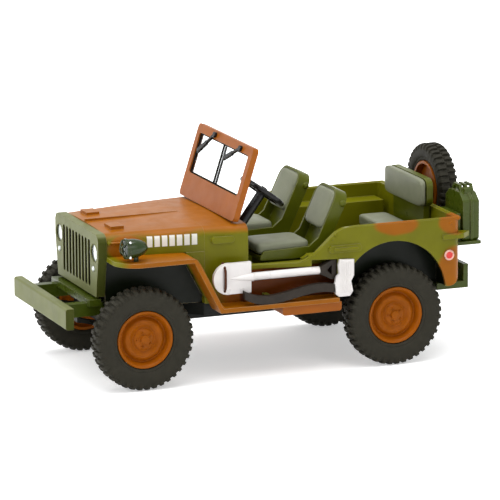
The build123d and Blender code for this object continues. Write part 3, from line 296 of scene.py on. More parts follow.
class Shading(Graph):
    """One principled material under construction."""

    def __init__(self, name: str) -> None:
        """Start the material.

        Args:
            name: The material's name.
        """
        self.material = bpy.data.materials.new(name)
        self.material.use_nodes = True
        super().__init__(self.material.node_tree)
        output = self.add("ShaderNodeOutputMaterial")
        self.shader = self.add("ShaderNodeBsdfPrincipled")
        self.link(self.shader.outputs["BSDF"], output.inputs["Surface"])

    def feed_shader(self, values: dict[str, Feed]) -> None:
        """Feed the shader's inputs by name."""
        for name, value in values.items():
            self.feed(self.shader.inputs[name], value)

    def drift(
        self, place: Socket, colour: tuple[float, float, float, float], amount: float, size: float
    ) -> Socket:
        """A colour that drifts a little lighter and darker over the surface.

        Args:
            place: Coordinates in metres.
            colour: Linear colour in the middle of the drift.
            amount: Share by which the colour rises and falls.
            size: Size of one drift, in millimetres.

        Returns:
            The colour socket.
        """
        ramp = self.add("ShaderNodeValToRGB")
        ends = ((0.3, 1 - amount), (0.7, 1 + amount))
        for element, (position, share) in zip(ramp.color_ramp.elements, ends):
            element.position = position
            element.color = tuple(min(1.0, c * share) for c in colour[:3]) + (1.0,)
        self.link(self.noise(place, 1.0 / (size * MM), 4.0), ramp.inputs["Fac"])
        return ramp.outputs["Color"]

    def shaded_side_mask(self) -> Socket:
        """Mask that rises to 1 on faces turned to the car's sides, where the darker colour is
        painted shade.
        """
        turned_to = self.vector_math("ABSOLUTE", self.coordinates("Normal"))
        return self.map_range(self.split(turned_to)["Y"], 0.55, 0.9, 0.0, 1.0, True)

    def rounded_normal(self, radius: float) -> Socket:
        """Normal of the surface with its edges rounded to a radius in millimetres."""
        radius_input = {"Radius": radius * MM}
        return self.wired("ShaderNodeBevel", "Normal", radius_input, samples=BEVEL_SAMPLES)

    def edge_mask(self, radius: float, strength: float) -> Socket:
        """Mask that rises to strength where the surface turns sharply.

        It compares the rounded normal with the true one by their dot product.

        Args:
            radius: Radius over which the rounded normal is taken, in millimetres.
            strength: Value on the sharpest edges.

        Returns:
            The mask socket.
        """
        rounded = self.rounded_normal(radius)
        true_normal = self.add("ShaderNodeNewGeometry").outputs["Normal"]
        likeness = self.vector_math("DOT_PRODUCT", rounded, true_normal, output="Value")
        return self.map_range(likeness, 0.80, 0.985, strength, 0.0)

    def warped(self, place: Socket, wander: float) -> Socket:
        """Coordinates moved about by soft noise, as a hand-held spray would move.

        Args:
            place: Coordinates in metres.
            wander: How far the noise moves them, in millimetres.

        Returns:
            The moved coordinates.
        """
        noise = self.noise(place, 1.0 / (6.0 * MM), 2.0, "Color")
        centred = self.vector_math("SUBTRACT", noise, (0.5, 0.5, 0.5))
        return self.vector_math("MULTIPLY_ADD", centred, (wander * MM,) * 3, place)

    def layer_mask(self, place: Socket, layer: Layer) -> Socket:
        """Mask that is 1 inside any of a layer's patches, with soft, wandering edges.

        A patch is an ellipsoid, or a box where it is square: the distance from its centre is
        measured in shares of its reach and compared with 1.

        Args:
            place: Coordinates in metres.
            layer: The layer.

        Returns:
            The mask socket.
        """
        if layer.wander > 0:
            place = self.warped(place, layer.wander)
        total = None
        for patch in layer.patches:
            local = self.vector_math("SUBTRACT", place, tuple(c * MM for c in patch.centre))
            scale = tuple(1 / (reach * MM) for reach in patch.reach)
            scaled = self.vector_math("MULTIPLY", local, scale)
            if patch.square:
                sizes = self.split(self.vector_math("ABSOLUTE", scaled))
                distance = self.math("MAXIMUM", sizes["X"], sizes["Y"])
                distance = self.math("MAXIMUM", distance, sizes["Z"])
            else:
                distance = self.vector_math("LENGTH", scaled, output="Value")
            mask = self.map_range(distance, 1 - layer.softness, 1 + layer.softness, 1.0, 0.0, True)
            total = mask if total is None else self.math("MAXIMUM", total, mask)
        return total

    def surface_normal(self, place: Socket, grain: float, grain_size: float,
                       soft_edge: float) -> None:
        """Give the shader a fine grain over softly rounded edges.

        Args:
            place: Coordinates in metres.
            grain: Height of the grain as a bump strength.
            grain_size: Size of the grain, in millimetres.
            soft_edge: Radius to which hard edges seem rounded, in millimetres.
        """
        inputs = {
            "Strength": grain,
            "Distance": 0.1 * MM,
            "Height": self.noise(place, 1.0 / (grain_size * MM), 2.0),
        }
        if soft_edge > 0:
            inputs["Normal"] = self.rounded_normal(soft_edge)
        self.feed_shader({"Normal": self.wired("ShaderNodeBump", "Normal", inputs)})


OLIVE = (110, 109, 8)
BROWN = (152, 88, 2)
# Dark green of the painted shade in the wheel wells
PAINTED_SHADE_GREEN = (8, 14, 3)
WHITE = (232, 232, 224)


def both_sides(*patches: Patch) -> tuple[Patch, ...]:
    """The patches given and their mirror images across the car.

    Args:
        patches: Patches on the car's left.

    Returns:
        All patches of both sides.
    """
    mirrored = tuple(
        Patch((p.centre[0], -p.centre[1], p.centre[2]), p.reach, p.square) for p in patches
    )
    return patches + mirrored


TUB_BROWN = Layer(BROWN, (
    # Cowl top
    Patch((12.0, 0.0, 30.0), (9.0, 30.0, 3.9), True),
    # Tool recess and the sill below it
    *both_sides(Patch((0.8, 15.2, 14.6), (12.8, 2.4, 4.2))),
    # Rear quarters: top edges, rear corners and round the reflectors
    Patch((-21.6, 17.6, 25.4), (4.1, 3.0, 1.9)),
    Patch((-32.6, 17.0, 25.0), (2.7, 4.0, 2.2)),
    Patch((-32.8, 17.4, 16.9), (3.2, 4.0, 3.7)),
    Patch((-12.2, -18.6, 22.4), (4.6, 1.7, 3.0)),
    Patch((-29.7, -18.6, 24.0), (5.0, 1.8, 3.4)),
    Patch((-35.4, -8.0, 19.0), (2.0, 5.6, 3.2)),
    Patch((-35.4, 3.0, 24.4), (2.0, 4.6, 2.4)),
))
TUB_WELL_PAINTED_SHADE = Layer(PAINTED_SHADE_GREEN, both_sides(
    # Painted shade inside the rear wheel wells
    Patch((-21.5, 14.68, 15.0), (10.6, 2.18, 8.0), True),
), 0.03, 0.0)
TOOL_RECESS_PAINTED_SHADE = Layer((92, 42, 2), both_sides(
    # Painted shade on the panel behind the tools, on both sides
    Patch((0.6, 14.6, 15.6), (12.2, 0.6, 3.6), True),
), 0.06, 0.0)
HOOD_BROWN = Layer(BROWN, (
    Patch((22.0, 0.0, 31.0), (30.0, 60.0, 5.0)),
    Patch((27.0, 12.0, 24.4), (3.4, 4.0, 2.4)),
    Patch((25.3, -12.5, 24.0), (5.0, 4.0, 2.2)),
))
HOOD_STENCIL = Layer(WHITE, both_sides(*(
    # A row of plain blocks
    Patch((14.9 + 1.32 * step, 12.5, 25.15), (0.48, 1.6, 0.95), True) for step in range(7)
)), 0.06, 0.0)
FENDER_BROWN = Layer(BROWN, both_sides(
    Patch((8.5, 17.0, 18.0), (20.6, 9.0, 14.0), True),
), 0.05)
FENDER_WEB = Layer(OLIVE, both_sides(
    # Web between the skirt and the hood's side
    Patch((14.6, 12.9, 18.0), (2.1, 0.75, 5.2), True),
), 0.03, 0.0)
FENDER_WELL_PAINTED_SHADE = Layer(PAINTED_SHADE_GREEN, both_sides(
    # Painted shade on the inner wall of the front wheel wells
    Patch((20.0, 9.6, 14.0), (22.0, 2.9, 7.9), True),
), 0.02, 0.0)
GRILLE_SLOT_PAINTED_SHADE = Layer((8, 9, 8), (
    # Painted shade on the walls of the slots
    Patch((31.1, 0.0, 21.2), (0.86, 7.7, 4.4), True),
), 0.02, 0.0)

FINISHES = {
    "tub": Finish("tub_camouflage", OLIVE, 0.34, specular=0.14, edge_wear_and_highlight=0.5,
                  layers=(TUB_BROWN, TUB_WELL_PAINTED_SHADE, TOOL_RECESS_PAINTED_SHADE)),
    "hood": Finish("hood_camouflage", OLIVE, 0.34, specular=0.14, coat=0.03, edge_wear_and_highlight=0.4,
                   layers=(HOOD_BROWN, HOOD_STENCIL)),
    "fender": Finish("fender_camouflage", OLIVE, 0.34, specular=0.14, soft_edge=0.2, edge_wear_and_highlight=0.9,
                     layers=(FENDER_BROWN, FENDER_WEB, FENDER_WELL_PAINTED_SHADE)),
    "olive": Finish("olive_enamel", (80, 86, 8), 0.32, coat=0.03, edge_wear_and_highlight=0.5),
    "lamp_green": Finish("lamp_green_enamel", (36, 52, 16), 0.2, coat=0.25, edge_wear_and_highlight=0.4),
    "dark_olive": Finish("dark_olive_enamel", (62, 74, 14), 0.28, coat=0.06, edge_wear_and_highlight=0.5),
    # Pale front faces are painted sheen; the darker side faces are painted shade
    "grille": Finish("grille_enamel_painted_sheen_and_shade", (112, 116, 76), 0.36, specular=0.06, edge_wear_and_highlight=0.7,
                     shaded_side_colour=(66, 71, 26), layers=(GRILLE_SLOT_PAINTED_SHADE,)),
    "brown": Finish("brown_enamel", (152, 82, 8), 0.36, coat=0.03, edge_wear_and_highlight=0.4),
    "rim": Finish("rim_enamel", (148, 78, 4), 0.36, specular=0.1, mottle=0.12, mottle_size=2.5),
    "black": Finish("chassis_plastic", (20, 22, 18), 0.5, grain=0.12, grain_size=0.25),
    "seat": Finish("seat_plastic", (124, 127, 106), 0.42, grain=0.2, grain_size=0.22,
                   soft_edge=0.25),
    "silver": Finish("tool_silver", (224, 220, 218), 0.3, metallic=0.15, mottle=0.06, grain=0.1,
                     edge_wear_and_highlight=0.3),
    "handle": Finish("handle_stain", (44, 38, 32), 0.4, mottle=0.25, mottle_size=1.4, grain=0.15),
    "strap": Finish("strap_brown", (74, 34, 12), 0.4, mottle=0.1),
    "tyre": Finish("tyre_rubber", (46, 44, 36), 0.6, specular=0.12, mottle=0.12, mottle_size=1.6,
                   grain=0.3, grain_size=0.3, soft_edge=0.06),
    "steel": Finish("pin_steel", (150, 150, 148), 0.28, metallic=1.0, grain=0.08),
    "chrome": Finish("guard_tips", (232, 234, 234), 0.16, metallic=1.0, grain=0.04, soft_edge=0.0),
    "lens": Finish("lamp_lens", (196, 202, 200), 0.12, metallic=0.6, coat=0.6, grain=0.3,
                   grain_size=0.5),
    "dark_lens": Finish("masked_lens", (22, 40, 26), 0.10, coat=1.0, grain=0.2, grain_size=0.6),
    "red": Finish("reflector_red", (222, 40, 28), 0.2, coat=0.6, grain=0.3, grain_size=0.3,
                  soft_edge=0.05),
    "pale": Finish("reflector_ring", (236, 186, 170), 0.35, soft_edge=0.0),
    "gloss_black": Finish("gloss_black", (16, 16, 16), 0.25, coat=0.15, edge_wear_and_highlight=0.15),
    "gasket": Finish("pane_gasket", (24, 22, 20), 0.6, specular=0.1),
}


@dataclass(frozen=True)
class PaneFinish:
    """Clear moulded plastic for the windscreen."""

    name: str = "clear_pane"
    tint: tuple[int, int, int] = (244, 247, 247)
    haze: float = 0.05
    refraction: float = 1.15

    def material(self) -> bpy.types.Material:
        """Build a clear pane with a faint moulding haze.

        Returns:
            A material that mostly lets light through.
        """
        shading = Shading(self.name)
        haze = shading.noise(shading.coordinates("Object"), 1.0 / (4.0 * MM), 2.0)
        shading.feed_shader({
            "Base Color": linear(*self.tint),
            "IOR": self.refraction,
            "Transmission Weight": 1.0,
            "Roughness": shading.map_range(haze, 0.35, 0.65, 0.0, self.haze),
        })
        return shading.material


class Palette:
    """Builds each finish once and dresses objects with it."""

    def __init__(self) -> None:
        """Build every material."""
        self.materials = {key: finish.material() for key, finish in FINISHES.items()}
        self.materials["pane"] = PaneFinish().material()

    def dress(self, piece: bpy.types.Object, key: str) -> None:
        """Give an object one finish all over."""
        piece.data.materials.clear()
        piece.data.materials.append(self.materials[key])


NODE_FINISHES = {
    "black": ("chassis", "engine_block", "radiator", "tow_hook"),
    "brown": ("side_steps", "windscreen_frame"),
    "dark_olive": ("can_bracket", "frame_horns", "jerrycan", "rear_bumperettes"),
    "fender": ("left_fender", "right_fender"),
    "gasket": ("windscreen_strip",),
    "gloss_black": ("steering_column", "steering_wheel", "wipers"),
    "grille": ("front_bumper", "grille"),
    "handle": ("axe_handle", "shovel_grip"),
    "hood": ("hood",),
    "lens": ("headlight_lenses", "marker_lamps"),
    "olive": ("bench_frame", "dash", "driver_seat_shell", "passenger_seat_shell",
              "spare_carrier", "tool_clamps"),
    "pane": ("windscreen_pane",),
    "red": ("rear_reflectors",),
    "silver": ("shovel",),
    "steel": ("front_axle_pin", "rear_axle_pin"),
    "tub": ("body_tub",),
}


@dataclass
class Surface:
    """Vertices and quad faces of one mesh shape, in metres."""

    points: np.ndarray
    faces: np.ndarray

    @staticmethod
    def from_grid(grid: np.ndarray, wrap_rows: bool = False,
                  wrap_columns: bool = False) -> "Surface":
        """Join a grid of points into quads, wrapped round where asked.

        Args:
            grid: Points as rows, columns and three coordinates.
            wrap_rows: The last row joins the first.
            wrap_columns: The last column joins the first.

        Returns:
            The surface.
        """
        rows, columns = grid.shape[:2]
        row = np.arange(rows if wrap_rows else rows - 1)[:, None]
        column = np.arange(columns if wrap_columns else columns - 1)[None, :]
        next_row = (row + 1) % rows
        next_column = (column + 1) % columns
        corners = [row * columns + column, row * columns + next_column,
                   next_row * columns + next_column, next_row * columns + column]
        faces = np.stack([np.broadcast_to(c, (row.size, column.size)) for c in corners], axis=-1)
        return Surface(grid.reshape(-1, 3), faces.reshape(-1, 4))

    @staticmethod
    def joined(parts: list["Surface"]) -> "Surface":
        """Put several surfaces into one, with their faces renumbered.

        Args:
            parts: The surfaces.

        Returns:
            The joined surface.
        """
        starts = np.cumsum([0] + [len(part.points) for part in parts[:-1]])
        points = np.concatenate([part.points for part in parts])
        faces = np.concatenate([part.faces + start for part, start in zip(parts, starts)])
        return Surface(points, faces)

    def moved(self, origin: np.ndarray, axes: np.ndarray) -> "Surface":
        """Place the surface: axes holds the local x, y and z directions as rows."""
        return Surface(self.points @ axes + origin, self.faces)

    def repeated(self, origins: np.ndarray, axes: np.ndarray) -> "Surface":
        """Copy the surface to many places at once.

        Args:
            origins: One origin for each copy.
            axes: One set of three directions for each copy, as rows.

        Returns:
            All copies as one surface.
        """
        copies = np.einsum("pk,nkc->npc", self.points, axes) + origins[:, None, :]
        steps = np.arange(len(origins))[:, None, None] * len(self.points)
        return Surface(copies.reshape(-1, 3), (self.faces[None] + steps).reshape(-1, 4))

    def mesh_object(self, name: str, smooth_angle: float = 35.0) -> bpy.types.Object:
        """Make a Blender object at the origin with outward faces.

        Args:
            name: The object's name.
            smooth_angle: Faces that meet at less than this many degrees shade smoothly.

        Returns:
            The linked object.
        """
        mesh = bpy.data.meshes.new(name)
        mesh.from_pydata(self.points.tolist(), [], self.faces.tolist())
        shape = bmesh.new()
        shape.from_mesh(mesh)
        bmesh.ops.remove_doubles(shape, verts=shape.verts, dist=1e-7)
        bmesh.ops.recalc_face_normals(shape, faces=shape.faces)
        shape.to_mesh(mesh)
        shape.free()
        mesh.shade_smooth()
        mesh.set_sharp_from_angle(angle=math.radians(smooth_angle))
        piece = bpy.data.objects.new(name, mesh)
        bpy.context.scene.collection.objects.link(piece)
        return piece


def unit(vector: tuple[float, float, float] | np.ndarray) -> np.ndarray:
    """A vector of length 1 in the same direction."""
    vector = np.asarray(vector, dtype=float)
    return vector / np.linalg.norm(vector)


def box_of(node: str, scale: float = 1.0) -> tuple[np.ndarray, np.ndarray]:
    """Low and high corner of a CAD node's box, divided by scale: MM gives millimetres."""
    low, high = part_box(node)
    return np.array(low) / scale, np.array(high) / scale


def circle(centre: tuple[float, float, float], radius: float, plane: tuple[int, int],
           count: int) -> np.ndarray:
    """Closed circle in the plane of two of the frame's axes.

    Each point is the centre plus the radius times the cosine of its angle along the first
    axis and the sine along the second.

    Args:
        centre: Middle of the circle.
        radius: Its radius.
        plane: Numbers of the two axes.
        count: Points, with the first one repeated at the end.

    Returns:
        The points as rows.
    """
    angle = np.linspace(0, 2 * math.pi, count)
    path = np.tile(np.array(centre, dtype=float), (count, 1))
    path[:, plane[0]] += radius * np.cos(angle)
    path[:, plane[1]] += radius * np.sin(angle)
    return path


# Local x, y and z directions as rows, of a piece that faces forward or back
FACING_FORWARD = np.array([[0, 1.0, 0], [0, 0, 1.0], [1.0, 0, 0]])
FACING_BACK = np.array([[0, 1.0, 0], [0, 0, -1.0], [-1.0, 0, 0]])
# Axes of an upright circle that lies across the car, or along it
ACROSS = (1, 2)
ALONG = (0, 2)


def power_wave(angle: np.ndarray, power: float, wave: str) -> np.ndarray:
    """Cosine or sine with its size raised to a power and its sign kept."""
    value = np.cos(angle) if wave == "cos" else np.sin(angle)
    return np.sign(value) * np.abs(value) ** power


def pillow(half: tuple[float, float, float], outline: float, edge: float, rows: int = 20,
           columns: int = 48) -> Surface:
    """Closed rounded slab: a superellipsoid whose powers set how square it is.

    Each point is the half size times powered cosines and sines of a latitude and a longitude.

    Args:
        half: Half sizes along x, y and z, in metres.
        outline: Power of the plan outline; smaller is squarer.
        edge: Power of the edge's section; smaller is squarer.
        rows: Points from pole to pole.
        columns: Points round.

    Returns:
        The surface.
    """
    latitude = np.linspace(-math.pi / 2, math.pi / 2, rows)[:, None]
    longitude = np.linspace(0, 2 * math.pi, columns, endpoint=False)[None, :]
    ring = power_wave(latitude, edge, "cos")
    x = half[0] * ring * power_wave(longitude, outline, "cos")
    y = half[1] * ring * power_wave(longitude, outline, "sin")
    z = half[2] * power_wave(latitude, edge, "sin") * np.ones_like(longitude)
    return Surface.from_grid(np.stack([x, y, z], axis=-1), wrap_columns=True)


def turned(profile: np.ndarray, columns: int) -> Surface:
    """Turn a profile round the local z axis.

    Args:
        profile: Rows of radius and height.
        columns: Points round.

    Returns:
        The surface.
    """
    angle = np.linspace(0, 2 * math.pi, columns, endpoint=False)[None, :]
    radius = profile[:, :1]
    x = radius * np.cos(angle)
    y = radius * np.sin(angle)
    z = profile[:, 1:] * np.ones_like(angle)
    return Surface.from_grid(np.stack([x, y, z], axis=-1), wrap_columns=True)


def tube(path: np.ndarray, radius: float, sides: int = 10) -> Surface:
    """Round tube with closed ends along a path.

    Each ring is the path's point plus a circle square to the path's direction there.

    Args:
        path: Points in metres.
        radius: Radius in metres.
        sides: Points round each ring.

    Returns:
        The surface.
    """
    ahead = np.gradient(path, axis=0)
    ahead /= np.linalg.norm(ahead, axis=1, keepdims=True)
    upright = np.abs(ahead[:, 2:]) > 0.9
    helper = np.where(upright, np.array([[1.0, 0, 0]]), np.array([[0, 0, 1.0]]))
    side = np.cross(ahead, helper)
    side /= np.linalg.norm(side, axis=1, keepdims=True)
    rise = np.cross(side, ahead)
    angle = np.linspace(0, 2 * math.pi, sides, endpoint=False)[None, :, None]
    ring = np.cos(angle) * side[:, None] + np.sin(angle) * rise[:, None]
    grid = path[:, None] + radius * ring
    start, end = (np.repeat(point[:, None], sides, 1) for point in (path[:1], path[-1:]))
    closed = np.concatenate([start, grid, end])
    return Surface.from_grid(closed, wrap_columns=True)


def dome(radius: float, height: float, columns: int = 12) -> Surface:
    """Low round rivet head standing on the local z = 0.

    Args:
        radius: Radius of its foot.
        height: Height of its crown.
        columns: Points round.

    Returns:
        The surface.
    """
    turn = np.linspace(0, math.pi / 2, 5)
    profile = np.stack([radius * np.cos(turn), height * np.sin(turn)], axis=1)
    return turned(np.concatenate([[[0, -height]], [[radius, -height]], profile]), columns)


class Maker:
    """Names, dresses and attaches finished pieces."""

    def __init__(self, palette: Palette) -> None:
        """Keep the palette that new pieces are dressed from."""
        self.palette = palette
        self.count = 0

    def add(self, surface: Surface, name: str, finish: str, slot: str, body: Body = Body.CAR,
            stands_for: tuple[str, ...] = (), smooth_angle: float = 35.0) -> bpy.types.Object:
        """Turn a surface into a dressed piece that rides on a body.

        Args:
            surface: The shape, already in place.
            name: The piece's name.
            finish: Key of its finish.
            slot: The record's material slot; not used.
            body: The body it rides on.
            stands_for: CAD nodes that it replaces.
            smooth_angle: Smooth-shading limit in degrees.

        Returns:
            The piece.
        """
        piece = surface.mesh_object(name, smooth_angle)
        self.palette.dress(piece, finish)
        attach(piece, body.value)
        if stands_for:
            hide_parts(*stands_for)
        self.count += 1
        log.info("%s: %d faces, rides on %s", name, len(surface.faces), body.value)
        return piece


@dataclass
class WheelPlace:
    """Where one wheel stands and which way it faces."""

    name: str
    outward: tuple[float, float, float]
    radial: tuple[float, float, float]
    body: Body

    def centre(self) -> np.ndarray:
        """Middle of the wheel's tyre in the frame."""
        low, high = box_of(f"{self.name}_tyre")
        return (low + high) / 2

    def axes(self) -> np.ndarray:
        """Directions of the wheel.

        Returns:
            Local x (radial), y and z (outward) as rows.
        """
        outward = unit(self.outward)
        radial = unit(self.radial)
        return np.stack([radial, np.cross(outward, radial), outward])


@dataclass
class Tyre:
    """Bar-tread tyre: a turned section with bars that alternate from side to side."""

    outer: float
    half_width: float
    bars: int = 40
    groove: float = 0.42 * MM
    bead: float = 5.16 * MM
    edge_share: float = 0.035
    bar_reach: float = 1.13 * MM
    bar_ramp: float = 0.25 * MM
    middle_gap: float = 0.1 * MM
    slope_start: float = 0.6
    slope_run: float = 0.28
    side_lift: float = 0.16 * MM

    @staticmethod
    def for_node(node: str, axis: int) -> "Tyre":
        """Size a tyre to a CAD tyre's own box.

        Args:
            node: The CAD tyre.
            axis: Number of the wheel's own axis.

        Returns:
            The tyre, a hair inside the box.
        """
        low, high = box_of(node)
        size = high - low
        return Tyre(outer=size[2] / 2 - 0.02 * MM, half_width=size[axis] / 2 - 0.01 * MM)

    def section(self) -> np.ndarray:
        """Section through the tread's groove floor.

        Returns:
            Radius and side offset from the outer bead to the inner one, in metres.
        """
        floor = self.outer - self.groove
        wall = (floor - self.bead) / MM
        half = np.array([
            (0.0, 0.66), (0.03, 0.79), (0.12, 0.87), (0.18, 0.85), (0.25, 0.92), (0.40, 0.985),
            (0.56, 1.0), (0.71, 0.985), (0.80, 0.945), (0.88, 0.91), (0.96, 0.85), (0.995, 0.73),
            (1.0, 0.56), (1.0, 0.37), (1.0, 0.20), (1.0, 0.10), (1.0, 0.025),
        ]) * [wall * MM, self.half_width]
        half[:, 0] += self.bead
        return np.concatenate([half, (half * [1, -1])[::-1]])

    def surface(self) -> Surface:
        """Grid of angle by section; the bars lift it along its outward direction.

        The lift is the groove depth times a step along the angle, on for half of each pitch
        and shifted by half a pitch between the two sides, times a step across the section.

        Returns:
            The surface, turned about the local z axis.
        """
        section = self.section()
        edges = np.array([self.edge_share, 0.25, 0.5 - self.edge_share])
        shares = np.concatenate([edges, edges + 0.5])
        pitch = np.arange(self.bars)[:, None] + shares[None, :]
        angle = (pitch * 2 * math.pi / self.bars).ravel()[None, :]
        first_half = np.tile(shares < 0.5, self.bars)[None, :]
        radius, offset = section[:, :1], section[:, 1:]
        on_bar = np.where(offset > 0, first_half, ~first_half)
        reach = np.clip((radius - self.outer + self.bar_reach) / self.bar_ramp, 0, 1)
        off_middle = np.clip((np.abs(offset) - self.middle_gap) / self.middle_gap, 0, 1)
        lift = on_bar * reach * off_middle
        outboard = np.abs(offset) / self.half_width
        slope = np.clip((outboard - self.slope_start) / self.slope_run, 0, 1)
        high_radius = radius + lift * self.groove * (1 - 0.55 * slope)
        high_offset = offset + lift * np.sign(offset) * self.side_lift * slope
        high_offset = np.clip(high_offset, -self.half_width, self.half_width)
        grid = np.stack([high_radius * np.cos(angle), high_radius * np.sin(angle),
                         high_offset * np.ones_like(angle)], axis=-1)
        return Surface.from_grid(grid, wrap_rows=True, wrap_columns=True)


RIM_SECTION = (
    # Radius and distance outboard of the wheel's middle, in millimetres
    (0.0, 1.75), (0.62, 1.75), (0.76, 1.70), (0.82, 1.50), (0.86, 1.27), (1.0, 1.22), (1.6, 1.15),
    (1.82, 1.0), (1.95, 0.80), (2.12, 0.74), (2.35, 0.82), (2.58, 1.06), (2.9, 1.18), (3.2, 1.14),
    (3.5, 0.93), (3.75, 0.56), (3.93, 0.40), (4.12, 0.44), (4.33, 0.86), (4.48, 1.3), (4.62, 1.52),
    (4.8, 1.64), (5.0, 1.70), (5.08, 1.62), (5.1, 1.5), (5.1, -1.6), (4.6, -1.6), (4.4, -0.4),
    (1.8, -0.4), (1.8, -1.6), (0.77, -1.6), (0.77, 0.85), (0.0, 0.85),
)


@dataclass
class WheelFace:
    """Pressed wheel with a soft dish, a hub and a ring of small bolts."""

    bolts: int = 5
    bolt_circle: float = 1.34 * MM
    bolt_radius: float = 0.21 * MM
    bolt_seat: float = 1.16 * MM
    bolt_height: float = 0.30 * MM
    columns: int = 96

    def disc(self) -> Surface:
        """Turn the pressed section."""
        return turned(np.array(RIM_SECTION) * MM, self.columns)

    def bolt_ring(self) -> Surface:
        """Set round bolt heads on their circle.

        Returns:
            All bolt heads as one surface.
        """
        angle = np.arange(self.bolts) * 2 * math.pi / self.bolts
        origins = np.stack([self.bolt_circle * np.cos(angle), self.bolt_circle * np.sin(angle),
                            np.full(self.bolts, self.bolt_seat)], axis=1)
        axes = np.broadcast_to(np.eye(3), (self.bolts, 3, 3))
        return dome(self.bolt_radius, self.bolt_height).repeated(origins, axes)


class Wheels:
    """All five wheels: tyres that replace the plain ones, and trim on the rims."""

    places = (
        WheelPlace("front_left", (0, 1, 0), (1, 0, 0), Body.FRONT_AXLE),
        WheelPlace("front_right", (0, -1, 0), (1, 0, 0), Body.FRONT_AXLE),
        WheelPlace("rear_left", (0, 1, 0), (1, 0, 0), Body.REAR_AXLE),
        WheelPlace("rear_right", (0, -1, 0), (1, 0, 0), Body.REAR_AXLE),
        WheelPlace("spare", (-1, 0, 0), (0, 0, 1), Body.CAR),
    )

    def build(self, maker: Maker) -> None:
        """Make each tyre, wheel disc and ring of bolts.

        Args:
            maker: Adds the pieces.
        """
        face = WheelFace()
        for place in self.places:
            tyre = Tyre.for_node(f"{place.name}_tyre", 0 if place.name == "spare" else 1)
            parts = (
                (tyre.surface(), "tyre_treaded", "tyre", "tyre_rubber", (f"{place.name}_tyre",)),
                (face.disc(), "wheel_disc", "rim", "brown_paint", (f"{place.name}_rim",)),
                (face.bolt_ring(), "wheel_bolts", "rim", "brown_paint", ()),
            )
            for surface, label, finish, slot, stands_for in parts:
                placed = surface.moved(place.centre(), place.axes())
                maker.add(placed, f"{place.name}_{label}", finish, slot, place.body, stands_for,
                          smooth_angle=28.0)


@dataclass(frozen=True)
class Pad:
    """One moulded seat pad, crowned, in place of a plain CAD one."""

    node: str
    name: str
    lean: float
    outline: float
    edge: float

    def surface(self) -> Surface:
        """A pillow that fills the CAD pad's own leaning box.

        The pad's length and thickness follow from the box, whose two sides are each the
        length and the thickness times the cosine and the sine of the lean.

        Returns:
            The surface in place.
        """
        low, high = box_of(self.node)
        size = high - low
        angle = math.radians(self.lean)
        level, steep = abs(math.cos(angle)), abs(math.sin(angle))
        span = (size[0] * level - size[2] * steep) / math.cos(2 * angle)
        thick = (size[2] * level - size[0] * steep) / math.cos(2 * angle)
        half = (span / 2, size[1] / 2, thick / 2)
        slab = pillow(half, self.outline, self.edge, rows=24, columns=64)
        forward = np.array([math.cos(angle), 0, -math.sin(angle)])
        across = np.array([0, 1.0, 0])
        return slab.moved((low + high) / 2, np.stack([forward, across, np.cross(forward, across)]))


class SeatPads:
    """Pads of the front seats and the rear bench."""

    pads = (
        Pad("driver_seat_cushion", "driver_cushion_moulding", 0.0, 0.22, 0.42),
        Pad("driver_seat_back", "driver_back_moulding", 65.0, 0.30, 0.42),
        Pad("passenger_seat_cushion", "passenger_cushion_moulding", 0.0, 0.22, 0.42),
        Pad("passenger_seat_back", "passenger_back_moulding", 65.0, 0.30, 0.42),
        Pad("bench_cushion", "bench_cushion_moulding", 0.0, 0.2, 0.4),
        Pad("bench_back", "bench_back_moulding", 90.0, 0.25, 0.4),
    )

    def build(self, maker: Maker) -> None:
        """Make every pad with the maker."""
        for pad in self.pads:
            maker.add(pad.surface(), pad.name, "seat", "seat_grey", stands_for=(pad.node,))


def tub_half(x: float | np.ndarray) -> np.ndarray:
    """Half width of the tub's outer side, as set by its plan.

    The side widens in a straight line from the cowl's rear edge to the rear quarter.

    Args:
        x: Place along the car, in millimetres.

    Returns:
        Half width in millimetres.
    """
    return np.clip(14.2 + (5.33 - np.asarray(x, dtype=float)) / 15.66 * 3.2, 13.2, 17.4)


def side_axes(side: int) -> np.ndarray:
    """Directions of a piece that faces out of one side of the car."""
    return np.array([[side, 0, 0], [0, 0, -1.0], [0, side, 0]])


